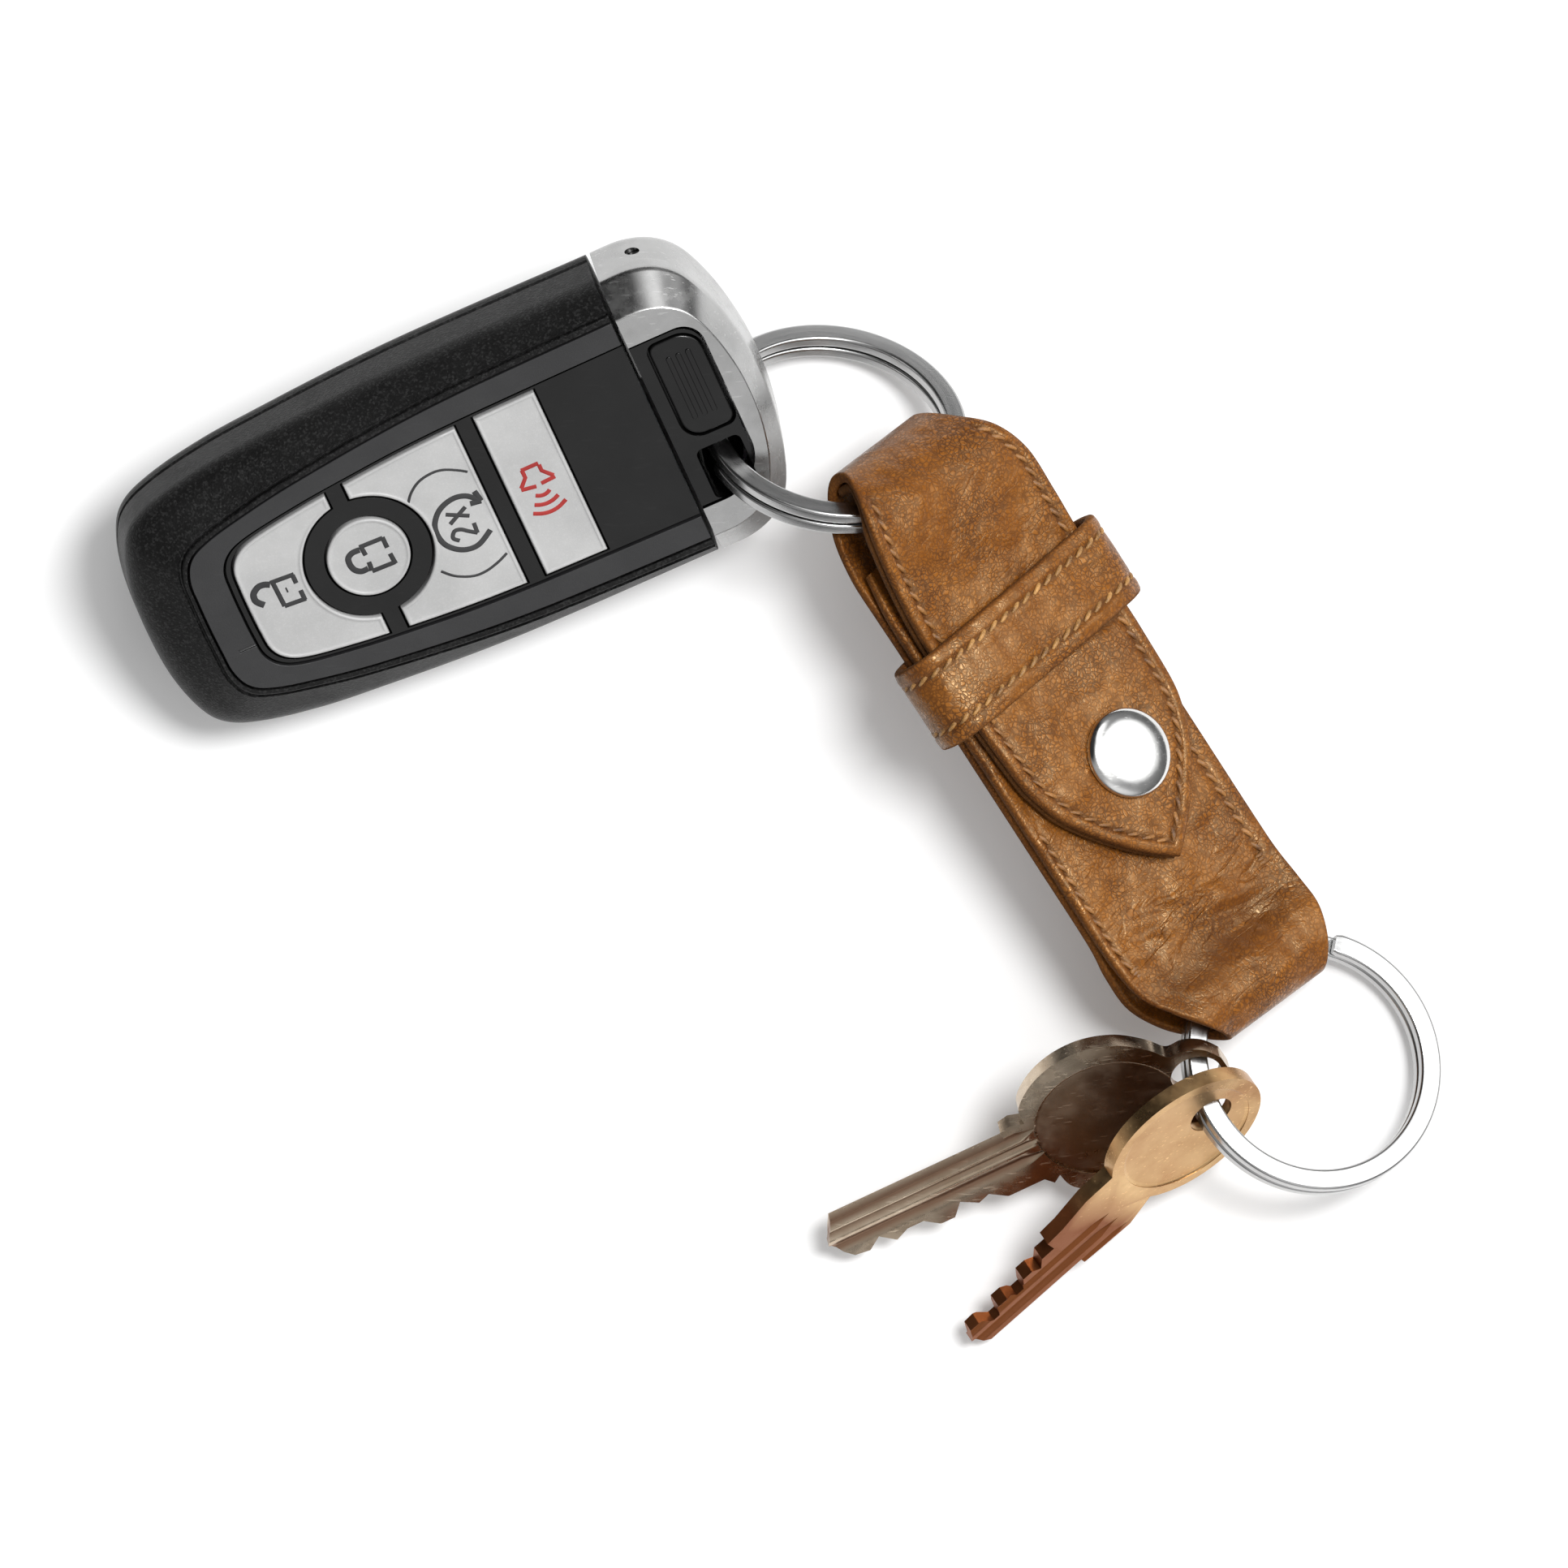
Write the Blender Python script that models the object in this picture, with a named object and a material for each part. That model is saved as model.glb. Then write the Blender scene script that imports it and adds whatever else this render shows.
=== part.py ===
"""Key fob set: a car remote and a leather snap fob on one split ring, two cut keys on another.

Metres, +Z up. The set lies on the ground at z = 0, and the origin is under the middle of its box.
Each assembly is modelled in its own frame, an empty that carries it to where it lies.
"""

from math import atan2, cos, hypot, pi, radians, sin, sqrt

import bmesh
import bpy
from mathutils import Matrix, Vector

MM = 0.001

# Shared clearances
GAP = 0.3 * MM
OVERRUN = 1.0 * MM

# Remote body: x runs from the tail to the head, y across, z up from the rear face
BODY_END_X = 26.6 * MM
BODY_LENGTH = 68.6 * MM
BODY_HALF_WIDTH = 20.3 * MM
BODY_THICKNESS = 15.5 * MM
REAR_HALF_WIDTH = 17.0 * MM
REAR_TAIL_INSET = 2.8 * MM
REAR_ROUNDING = 1.3 * MM
PARTING_HEIGHT = 5.1 * MM
SLOPE_HEIGHT = 3.9 * MM
SLOPE_FOOT_INSET = 0.4 * MM
FLOOR_WALL = 1.5 * MM
END_WALL = 2.6 * MM

# Face panel and its button field
PANEL_HALF_WIDTH = 16.3 * MM
PANEL_TAIL_MARGIN = 8.0 * MM
PANEL_THICKNESS = 2.0 * MM
FIELD_HALF_WIDTH = 12.8 * MM
FIELD_TAIL_MARGIN = 4.4 * MM
LEDGE = 2.4 * MM
FRAME_RIM = 0.6 * MM
BAR_WIDTH = 2.0 * MM
LOCK_INSET = 17.0 * MM
LOCK_Y = 0.3 * MM
LOCK_RADIUS = 5.5 * MM
LOCK_RING_RADIUS = 7.9 * MM
UNLOCK_BAR_OFFSET = -0.4 * MM
START_REACH = 16.6 * MM
ALARM_LENGTH = 8.7 * MM
BUTTON_PROUD = 0.1 * MM
BUTTON_TRAVEL = 0.4 * MM

# Electronics stack
MEMBRANE_THICKNESS = 0.8 * MM
SWITCH_RADIUS = 2.2 * MM
SWITCH_HEIGHT = 0.9 * MM
BOARD_THICKNESS = 1.2 * MM
CHIP_SIDE = 9.0 * MM
CHIP_HEIGHT = 1.1 * MM
CHIP_X = 1.0 * MM
CHIP_Y = -6.0 * MM
ANTENNA_LENGTH = 10.0 * MM
ANTENNA_WIDTH = 8.0 * MM
ANTENNA_HEIGHT = 3.0 * MM
ANTENNA_INSET = 8.0 * MM
CELL_RADIUS = 10.0 * MM
CELL_HEIGHT = 3.2 * MM
CELL_CLEARANCE = 0.7 * MM
CONTACT_THICKNESS = 0.5 * MM
CONTACT_WIDTH = 5.0 * MM
CONTACT_LENGTH = 15.0 * MM

# Pull-out head with its key blade
HEAD_GAP = 0.6 * MM
HEAD_LENGTH = 13.8 * MM
HEAD_RIM_INSET = 2.4 * MM
CORE_HALF_WIDTH = 12.0 * MM
CORE_LENGTH = 9.0 * MM
CORE_CORNER = 3.0 * MM
CORE_RECESS = 0.2 * MM
RELEASE_WIDTH = 6.4 * MM
RELEASE_LENGTH = 13.6 * MM
RELEASE_INSET = 5.2 * MM
RELEASE_Y = 4.1 * MM
RELEASE_THICKNESS = 2.0 * MM
RELEASE_TRAVEL = 0.5 * MM
RIB_HEIGHT = 0.25 * MM
RIB_WIDTH = 0.7 * MM
BLADE_LENGTH = 34.0 * MM
BLADE_WIDTH = 6.4 * MM
BLADE_THICKNESS = 2.0 * MM
BLADE_Y = 7.4 * MM
BLADE_Z = 6.9 * MM
BLADE_CUT = 1.2 * MM
ROOT_LENGTH = 7.0 * MM
ROOT_THICKNESS = 3.8 * MM
SLEEVE_WALL = 0.7 * MM
PIN_RADIUS = 0.75 * MM
PIN_CLEARANCE = 0.15 * MM
PIN_INSET = 5.0 * MM
PIN_RECESS = 0.6 * MM
PIN_REACH = 3.0 * MM

# Split rings
RING_RADIUS = 16.6 * MM
RING_BAND = 2.6 * MM
RING_WIRE = 1.55 * MM
RING_TURN_GAP = 0.3 * MM
RING_CHAMFER = 0.28 * MM
RING_STEP = 6.0
RING_RAMP_HALF = 15.0
RING_END_GAP = 2.0

# Leather fob: u runs down the fob, v across, w out of its front
STRAP_HALF_LENGTH = 41.8 * MM
STRAP_HALF_WIDTH = 14.0 * MM
LEATHER = 1.45 * MM
LINING = 1.2 * MM
FLAP_HALF_WIDTH = 13.25 * MM
FLAP_TIP_U = 20.3 * MM
FLAP_TIP_V = 0.5 * MM
KEEPER_U = -13.7 * MM
KEEPER_WIDTH = 11.3 * MM
KEEPER_THICKNESS = 1.4 * MM
KEEPER_HALF_WIDTH = 17.0 * MM
KEEPER_SKEW = 4.0
KEEPER_CORNER = 3.0 * MM
SNAP_U = 6.1 * MM
SNAP_V = 1.9 * MM
SNAP_RADIUS = 5.65 * MM
SNAP_DOME = 1.5 * MM
SNAP_SHANK_RADIUS = 1.2 * MM
SOCKET_RADIUS = 4.7 * MM
SOCKET_THICKNESS = 1.3 * MM
STUD_KNOB_RADIUS = 1.8 * MM
STUD_KNOB_HEIGHT = 1.3 * MM
STUD_BASE = 0.7 * MM
POST_HEAD_RADIUS = 4.2 * MM
POST_HEAD = 0.5 * MM

# Keys: x runs from the tip to the bow, y across the blade, z through it
KEY_THICKNESS = 2.0 * MM
KEY_RECESS = 0.3 * MM
GROOVE_DEPTH = 0.55 * MM
GROOVE_WIDTH = 1.3 * MM
NICKEL_LENGTH = 55.2 * MM
NICKEL_BLADE = 8.5 * MM
NICKEL_HOLE_RADIUS = 3.2 * MM
BRASS_LENGTH = 48.6 * MM
BRASS_BLADE = 7.4 * MM
BRASS_HOLE_RADIUS = 2.9 * MM

# Where each assembly lies, and how it is turned, in degrees
REMOTE_AT = (-38.9 * MM, 33.6 * MM, 22.4 * MM)
REMOTE_HEADING = 25.1
REMOTE_ROLL = 26.0
REMOTE_PITCH = -3.2
UPPER_RING_AT = (6.5 * MM, 44.7 * MM, 13.35 * MM)
UPPER_RING_TILT = 44.3
UPPER_RING_LOW_SIDE = 79.3
UPPER_RING_JOINT = -20.0
HEAD_ON_RING = 118.0
STRAP_AT = (36.0 * MM, 7.95 * MM, 13.7 * MM)
STRAP_HEADING = -57.0
STRAP_ROLL = -27.0
STRAP_PITCH = 5.9
LOWER_RING_AT = (65.55 * MM, -33.4 * MM, 8.85 * MM)
LOWER_RING_TILT = 23.5
LOWER_RING_LOW_SIDE = 39.0
LOWER_RING_JOINT = 94.0
NICKEL_ON_RING = 147.0
NICKEL_HEADING = 25.2
NICKEL_PITCH = -11.0
NICKEL_ROLL = 43.0
KEY_SPREAD = 20.0
BRASS_ON_RING = NICKEL_ON_RING + KEY_SPREAD
BRASS_HEADING = 41.8
BRASS_PITCH = -13.0
BRASS_ROLL = 60.0

# Colours: base colour, roughness, metallic
FINISHES = {
    "grained_black": ((0.020, 0.020, 0.021), 0.55, 0.0),
    "satin_black": ((0.034, 0.034, 0.035), 0.42, 0.0),
    "gloss_black": ((0.010, 0.010, 0.011), 0.22, 0.0),
    "satin_silver": ((0.56, 0.56, 0.56), 0.38, 0.3),
    "rubber_black": ((0.03, 0.03, 0.03), 0.8, 0.0),
    "board_green": ((0.02, 0.16, 0.07), 0.5, 0.0),
    "chip_black": ((0.03, 0.03, 0.035), 0.5, 0.0),
    "coil_copper": ((0.60, 0.28, 0.12), 0.4, 1.0),
    "cell_steel": ((0.66, 0.66, 0.65), 0.3, 1.0),
    "brushed_steel": ((0.62, 0.62, 0.63), 0.3, 1.0),
    "tan_leather": ((0.43, 0.19, 0.055), 0.5, 0.0),
    "leather_lining": ((0.33, 0.14, 0.04), 0.7, 0.0),
    "snap_nickel": ((0.80, 0.80, 0.80), 0.15, 1.0),
    "key_nickel": ((0.48, 0.44, 0.38), 0.3, 1.0),
    "key_brass": ((0.58, 0.40, 0.20), 0.32, 1.0),
}

# Outlines, as shares. A body outline pairs a place along the length with a half width.
BODY_SHARES = (
    (0.0, 0.0),
    (0.006, 0.33),
    (0.028, 0.60),
    (0.060, 0.745),
    (0.117, 0.83),
    (0.204, 0.895),
    (0.32, 0.94),
    (0.61, 1.0),
    (1.0, 1.0),
)
PANEL_SHARES = (
    (0.0, 0.0),
    (0.001, 0.22),
    (0.004, 0.42),
    (0.022, 0.575),
    (0.06, 0.665),
    (0.14, 0.745),
    (0.30, 0.85),
    (0.60, 0.965),
    (1.0, 1.0),
)
FIELD_SHARES = (
    (0.0, 0.0),
    (0.001, 0.26),
    (0.006, 0.49),
    (0.03, 0.645),
    (0.075, 0.735),
    (0.17, 0.81),
    (0.30, 0.88),
    (0.55, 0.965),
    (1.0, 1.0),
)
HEAD_SHARES = (
    (0.0, 1.0),
    (0.30, 0.995),
    (0.56, 0.93),
    (0.76, 0.79),
    (0.90, 0.54),
    (0.98, 0.25),
    (1.0, 0.0),
)
# Channel through the head for the ring: height, then x and y spans, as shares of the head's sizes
CHANNEL_SHARES = (
    (-0.08, 0.40, 0.94, -0.36, 0.01),
    (0.04, 0.38, 0.90, -0.36, -0.01),
    (0.35, 0.18, 0.68, -0.38, -0.03),
    (0.62, 0.13, 0.57, -0.47, -0.10),
    (0.84, 0.14, 0.56, -0.54, -0.18),
    (1.08, 0.15, 0.58, -0.60, -0.25),
)
# Strap strip: along u, out w, twist, left edge, right edge. w is in leather thicknesses.
FRONT_LEAF_SHARES = (
    (-0.718, -1.00, -0.16, -0.93, 0.90),
    (-0.598, 0.02, -0.06, -0.99, 0.97),
    (-0.467, 0.62, 0.0, -1.0, 1.0),
    (-0.19, 0.62, 0.0, -1.0, 1.0),
    (0.24, 0.62, 0.0, -1.0, 1.0),
    (0.53, 0.62, 0.0, -1.0, 1.0),
    (0.646, 0.78, 0.0, -1.0, 1.0),
    (0.754, 1.60, 0.0, -0.98, 1.0),
    (0.85, 2.30, 0.0, -0.83, 0.97),
    (0.94, 2.25, 0.02, -0.62, 0.86),
)
LOWER_FOLD_SHARES = (
    (1.0, 1.0, 0.02, -0.44, 0.78),
    (1.008, -0.62, 0.0, -0.40, 0.78),
    (0.971, -2.20, 0.0, -0.50, 0.845),
)
BACK_LEAF_SHARES = (
    (0.897, -2.68, 0.0, -0.72, 0.92),
    (0.79, -2.40, 0.0, -0.92, 1.0),
    (0.67, -1.30, 0.0, -1.0, 1.0),
    (0.55, -0.66, 0.0, -1.0, 1.0),
    (0.24, -0.62, 0.0, -1.0, 1.0),
    (-0.19, -0.62, 0.0, -1.0, 1.0),
    (-0.467, -0.62, 0.0, -1.0, 1.0),
    (-0.598, -1.30, -0.06, -1.0, 0.99),
    (-0.730, -2.40, -0.16, -0.99, 0.94),
    (-0.849, -3.24, -0.22, -0.90, 0.78),
    (-0.945, -2.97, -0.22, -0.75, 0.56),
)
UPPER_FOLD_SHARES = (
    (-0.998, -1.25, -0.20, -0.69, 0.47),
    (-0.998, 0.85, -0.17, -0.67, 0.47),
    (-0.955, 2.70, -0.14, -0.75, 0.58),
)
FLAP_SHARES = (
    (-0.873, 4.35, -0.10, -0.89, 0.79),
    (-0.766, 4.25, -0.06, -0.94, 0.92),
    (-0.622, 3.45, -0.02, -0.946, 0.946),
    (-0.467, 2.90, 0.0, -0.946, 0.946),
    (-0.165, 2.90, 0.0, -0.946, 0.94),
)
# Flap tip: along from the hinge line to the point, and half width
TIP_SHARES = (
    (0.0, 1.0),
    (0.31, 0.965),
    (0.45, 0.90),
    (0.555, 0.815),
    (0.69, 0.635),
    (0.84, 0.375),
    (0.94, 0.155),
    (1.0, 0.0),
)
# Keys: along from the tip as shares of the length, across as shares of the blade height
NICKEL_TOP_SHARES = (
    (0.0, 0.02),
    (0.035, 0.43),
    (0.475, 0.43),
    (0.478, 0.66),
    (0.505, 0.70),
    (0.535, 0.62),
    (0.545, 0.95),
    (0.60, 1.28),
    (0.67, 1.46),
    (0.745, 1.46),
    (0.815, 1.26),
    (0.868, 0.90),
    (0.895, 0.62),
    (0.935, 0.60),
    (0.972, 0.44),
    (0.995, 0.16),
)
NICKEL_BITTING_SHARES = (
    (0.04, -0.34),
    (0.075, -0.38),
    (0.11, -0.20),
    (0.14, -0.42),
    (0.175, -0.30),
    (0.215, -0.30),
    (0.245, -0.50),
    (0.28, -0.50),
    (0.31, -0.26),
    (0.345, -0.44),
    (0.375, -0.36),
    (0.41, -0.57),
    (0.50, -0.57),
    (0.515, -0.72),
)
BRASS_BITTING_SHARES = (
    (0.0, -0.10),
    (0.025, 0.18),
    (0.055, 0.20),
    (0.085, 0.02),
    (0.105, 0.02),
    (0.125, 0.26),
    (0.155, 0.26),
    (0.175, 0.10),
    (0.20, 0.10),
    (0.225, 0.40),
    (0.255, 0.40),
    (0.275, 0.28),
    (0.30, 0.50),
    (0.342, 0.50),
    (0.345, 0.76),
    (0.40, 0.80),
    (0.50, 0.98),
)
BRASS_BOW_SHARES = (0.785, 0.32, 0.222, 1.36)
BRASS_FOOT_SHARES = (
    (0.50, -0.60),
    (0.40, -0.58),
    (0.345, -0.56),
    (0.342, -0.48),
    (0.04, -0.48),
)
KEY_HOLE_SHARES = {"nickel": (0.925, 0.04), "brass": (0.872, 0.30)}


def shade(name):
    """Material of one finish, made once."""
    if name in bpy.data.materials:
        return bpy.data.materials[name]
    colour, roughness, metallic = FINISHES[name]
    material = bpy.data.materials.new(name)
    material.use_nodes = True
    material.diffuse_color = (*colour, 1.0)
    shader = material.node_tree.nodes["Principled BSDF"]
    shader.inputs["Base Color"].default_value = (*colour, 1.0)
    shader.inputs["Roughness"].default_value = roughness
    shader.inputs["Metallic"].default_value = metallic
    return material


def smooth_path(points, steps):
    """Points of a Catmull-Rom curve through rows of any width."""
    path = []
    last = len(points) - 1
    for index in range(last):
        before = points[max(index - 1, 0)]
        start, end = points[index], points[index + 1]
        after = points[min(index + 2, last)]
        for step in range(steps):
            t = step / steps
            row = []
            for a, b, c, d in zip(before, start, end, after):
                slope, bend = c - a, 2 * a - 5 * b + 4 * c - d
                curl = 3 * b - a - 3 * c + d
                row.append(0.5 * (2 * b + slope * t + bend * t * t + curl * t ** 3))
            path.append(tuple(row))
    path.append(tuple(points[-1]))
    return path


def arc(centre, radius, start, end, count):
    """Points along an arc, angles in degrees."""
    return [
        (
            centre[0] + radius * cos(radians(start + (end - start) * i / count)),
            centre[1] + radius * sin(radians(start + (end - start) * i / count)),
        )
        for i in range(count + 1)
    ]


def circle(centre, radius, count=32):
    return arc(centre, radius, 0, 360, count)[:-1]


def rounded_box(low, high, radius, count=4):
    """Counter-clockwise outline of a rectangle with round corners."""
    corners = (
        ((high[0] - radius, high[1] - radius), 0),
        ((low[0] + radius, high[1] - radius), 90),
        ((low[0] + radius, low[1] + radius), 180),
        ((high[0] - radius, low[1] + radius), 270),
    )
    return [point for centre, turn in corners for point in arc(centre, radius, turn, turn + 90, count)]


def skin(mesh, loops, closed=False):
    """Faces between loops of points, with end caps unless the loops close on each other."""
    rings = [[mesh.verts.new(point) for point in loop] for loop in loops]
    pairs = list(zip(rings, rings[1:]))
    if closed:
        pairs.append((rings[-1], rings[0]))
    for near, far in pairs:
        for i in range(len(near)):
            j = (i + 1) % len(near)
            mesh.faces.new((near[i], near[j], far[j], far[i]))
    if not closed:
        mesh.faces.new(rings[0])
        mesh.faces.new(list(reversed(rings[-1])))


def placed(name, mesh, finish, parent, origin=(0, 0, 0), smooth=30):
    """Object made from a bmesh given in its parent's frame, with its own origin there."""
    origin = Vector(origin)
    bmesh.ops.recalc_face_normals(mesh, faces=mesh.faces)
    bmesh.ops.translate(mesh, vec=-origin, verts=mesh.verts)
    data = bpy.data.meshes.new(name)
    mesh.to_mesh(data)
    mesh.free()
    data.shade_smooth()
    data.set_sharp_from_angle(angle=radians(smooth))
    obj = bpy.data.objects.new(name, data)
    bpy.context.collection.objects.link(obj)
    obj.parent = parent
    obj.location = origin
    if finish:
        data.materials.append(shade(finish))
    else:
        obj.hide_render = True
        obj.display_type = "WIRE"
    return obj


def lofted(name, loops, finish, parent, **options):
    mesh = bmesh.new()
    skin(mesh, loops)
    return placed(name, mesh, finish, parent, **options)


def prism(name, outline, low, high, finish, parent, **options):
    """Solid with a flat outline, from one height to another."""
    mesh = bmesh.new()
    face = mesh.faces.new([mesh.verts.new((x, y, low)) for x, y in outline])
    grown = bmesh.ops.extrude_face_region(mesh, geom=[face])["geom"]
    verts = [part for part in grown if isinstance(part, bmesh.types.BMVert)]
    bmesh.ops.translate(mesh, vec=(0, 0, high - low), verts=verts)
    return placed(name, mesh, finish, parent, **options)


def block(name, low, high, finish, parent, **options):
    outline = ((low[0], low[1]), (high[0], low[1]), (high[0], high[1]), (low[0], high[1]))
    return prism(name, outline, low[2], high[2], finish, parent, **options)


def cut(target, cutter):
    """Takes a cutter out of a solid."""
    modifier = target.modifiers.new("cut_" + cutter.name, "BOOLEAN")
    modifier.operation = "DIFFERENCE"
    modifier.solver = "EXACT"
    modifier.object = cutter
    return target


def add(target, extra):
    """Joins a helper solid to a solid."""
    modifier = target.modifiers.new("add_" + extra.name, "BOOLEAN")
    modifier.operation = "UNION"
    modifier.solver = "EXACT"
    modifier.object = extra
    return target


def frame(name, matrix, parent=None):
    """Empty that carries an assembly or marks a joint axis along its own Z."""
    empty = bpy.data.objects.new(name, None)
    empty.empty_display_size = RING_BAND
    bpy.context.collection.objects.link(empty)
    empty.parent = parent
    empty.matrix_world = matrix
    bpy.context.view_layer.update()
    return empty


def turned(heading, pitch, roll):
    """Rotation of an assembly: roll about its length, then pitch, then heading."""
    return (
        Matrix.Rotation(radians(heading), 4, "Z")
        @ Matrix.Rotation(radians(pitch), 4, "Y")
        @ Matrix.Rotation(radians(roll), 4, "X")
    )


def axis_at(point, direction):
    """Matrix whose Z axis points along a direction."""
    turn = Vector(direction).to_track_quat("Z", "Y").to_matrix().to_4x4()
    return Matrix.Translation(point) @ turn


def body_outline(tail_x, end_x, half_width, shares):
    """Open-ended outline from the upper end corner round the tail to the lower end corner."""
    upper = [(tail_x + (end_x - tail_x) * t, half_width * w) for t, w in reversed(shares)]
    lower = [(x, -y) for x, y in reversed(upper[:-1])]
    return smooth_path(upper + lower, 3)


def half_width_at(outline, x):
    """Half width of a body outline at x, by linear steps along its upper side."""
    upper = outline[: len(outline) // 2 + 1]
    for (x1, y1), (x2, y2) in zip(upper, upper[1:]):
        if x2 <= x <= x1:
            return y2 + (y1 - y2) * (x - x2) / (x1 - x2) if x1 > x2 else y1
    return upper[0][1] if x > upper[0][0] else 0


def raised(outline, z):
    return [(x, y, z) for x, y in outline]


BODY_TAIL_X = BODY_END_X - BODY_LENGTH
PANEL_TAIL_X = BODY_TAIL_X + PANEL_TAIL_MARGIN
FIELD_TAIL_X = PANEL_TAIL_X + FIELD_TAIL_MARGIN
LOCK_X = FIELD_TAIL_X + LOCK_INSET
UNLOCK_BAR_X = LOCK_X + UNLOCK_BAR_OFFSET
START_END_X = LOCK_X + START_REACH
ALARM_X = START_END_X + BAR_WIDTH
ALARM_END_X = ALARM_X + ALARM_LENGTH
HEAD_X = BODY_END_X + HEAD_GAP
RELEASE_X = HEAD_X + RELEASE_INSET
PIN_X = HEAD_X + PIN_INSET
FACE_Z = BODY_THICKNESS
SLOPE_FOOT_Z = FACE_Z - SLOPE_HEIGHT
LEDGE_Z = FACE_Z - PANEL_THICKNESS - GAP
MEMBRANE_TOP = LEDGE_Z - GAP
SWITCH_TOP = MEMBRANE_TOP - MEMBRANE_THICKNESS - GAP
BOARD_TOP = SWITCH_TOP - SWITCH_HEIGHT - GAP
BOARD_LOW = BOARD_TOP - BOARD_THICKNESS
CELL_LOW = FLOOR_WALL + GAP + CONTACT_THICKNESS + GAP
CELL_TOP = CELL_LOW + CELL_HEIGHT
CAVITY_HALF_WIDTH = PANEL_HALF_WIDTH - LEDGE
CAVITY_TAIL_X = PANEL_TAIL_X + LEDGE
CAVITY_END_X = BODY_END_X - END_WALL
ANTENNA_X = CAVITY_END_X - ANTENNA_INSET
SLEEVE_TIP_X = HEAD_X - BLADE_LENGTH - GAP - SLEEVE_WALL
CELL_X = SLEEVE_TIP_X - CELL_CLEARANCE - CELL_RADIUS
SLEEVE_REACH = BLADE_LENGTH - END_WALL
HEAD_END_X = HEAD_X + HEAD_LENGTH
RING_PITCH = RING_WIRE + RING_TURN_GAP
RING_MID_RADIUS = RING_RADIUS - RING_BAND / 2
FLAP_TOP = LEATHER * FLAP_SHARES[-1][1] + LEATHER / 2
FLAP_HINGE_U = STRAP_HALF_LENGTH * FLAP_SHARES[-1][0]


def rear_levels():
    """Heights, tail insets and half widths of the rounded rear edge, shared by body and head."""
    return (
        (0, REAR_TAIL_INSET, REAR_HALF_WIDTH),
        (REAR_ROUNDING, REAR_TAIL_INSET / 4, (REAR_HALF_WIDTH + 2 * BODY_HALF_WIDTH) / 3),
    )


def make_shells(home):
    """Lower shell and upper shell, hollow for the electronics."""
    cavity = body_outline(CAVITY_TAIL_X, CAVITY_END_X, CAVITY_HALF_WIDTH, PANEL_SHARES)

    def level(z, inset, half_width):
        return raised(body_outline(BODY_TAIL_X + inset, BODY_END_X, half_width, BODY_SHARES), z)

    loops = [level(z, inset, half_width) for z, inset, half_width in rear_levels()]
    loops.append(level(PARTING_HEIGHT - GAP / 2, 0, BODY_HALF_WIDTH))
    lower = lofted("lower_shell", loops, "grained_black", home, smooth=40)
    cut(lower, prism("lower_cavity", cavity, FLOOR_WALL, PARTING_HEIGHT + OVERRUN, None, home))

    top = body_outline(PANEL_TAIL_X - GAP, BODY_END_X, PANEL_HALF_WIDTH + GAP, PANEL_SHARES)
    foot_half_width = BODY_HALF_WIDTH - SLOPE_FOOT_INSET
    loops = [
        level(PARTING_HEIGHT + GAP / 2, 0, BODY_HALF_WIDTH),
        level(SLOPE_FOOT_Z, SLOPE_FOOT_INSET, foot_half_width),
        raised(top, FACE_Z),
    ]
    upper = lofted("upper_shell", loops, "grained_black", home, smooth=25)
    pocket = body_outline(PANEL_TAIL_X - GAP, BODY_END_X + OVERRUN, PANEL_HALF_WIDTH, PANEL_SHARES)
    cut(upper, prism("upper_cavity", cavity, 0, LEDGE_Z + OVERRUN, None, home))
    cut(upper, prism("panel_pocket", pocket, LEDGE_Z, FACE_Z + OVERRUN, None, home))
    slot_half = BLADE_WIDTH / 2 + GAP
    slot = block(
        "blade_slot",
        (CAVITY_END_X - OVERRUN, BLADE_Y - slot_half, 0),
        (BODY_END_X + OVERRUN, BLADE_Y + slot_half, BLADE_Z + BLADE_THICKNESS / 2 + GAP),
        None,
        home,
    )
    cut(upper, slot)


def field_outline(inset):
    """Button field's outline, drawn in by an inset."""
    end_x = BODY_END_X - GAP - inset
    return body_outline(FIELD_TAIL_X + inset, end_x, FIELD_HALF_WIDTH - inset, FIELD_SHARES)


def ring_cut_angle(x, radius):
    """Angle at which a vertical line at x meets the lock button's ring."""
    return atan2(sqrt(max(radius ** 2 - (x - LOCK_X) ** 2, 0)), x - LOCK_X) * 180 / pi


def unlock_outline(inset):
    field = field_outline(inset)
    x = UNLOCK_BAR_X - BAR_WIDTH / 2 + FRAME_RIM - inset
    radius = LOCK_RING_RADIUS - FRAME_RIM + inset
    half = half_width_at(field, x)
    turn = ring_cut_angle(x, radius)
    edge = [(x, half)] + [point for point in field if point[0] < x] + [(x, -half)]
    return edge + arc((LOCK_X, LOCK_Y), radius, 360 - turn, turn, 14)


def start_outline(inset):
    field = field_outline(inset)
    x = UNLOCK_BAR_X + BAR_WIDTH / 2 - FRAME_RIM + inset
    end_x = START_END_X + FRAME_RIM - inset
    radius = LOCK_RING_RADIUS - FRAME_RIM + inset
    turn = ring_cut_angle(x, radius)
    top = [(end_x, half_width_at(field, end_x)), (x, half_width_at(field, x))]
    curve = arc((LOCK_X, LOCK_Y), radius, turn, -turn, 14)
    return top + curve + [(point[0], -point[1]) for point in reversed(top)]


def alarm_outline(inset):
    field = field_outline(inset)
    x = ALARM_X - FRAME_RIM + inset
    end_x = ALARM_END_X + FRAME_RIM - inset
    top = [(end_x, half_width_at(field, end_x)), (x, half_width_at(field, x))]
    return top + [(point[0], -point[1]) for point in reversed(top)]


def lock_outline(inset):
    return circle((LOCK_X, LOCK_Y), LOCK_RADIUS + FRAME_RIM - inset)


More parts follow.
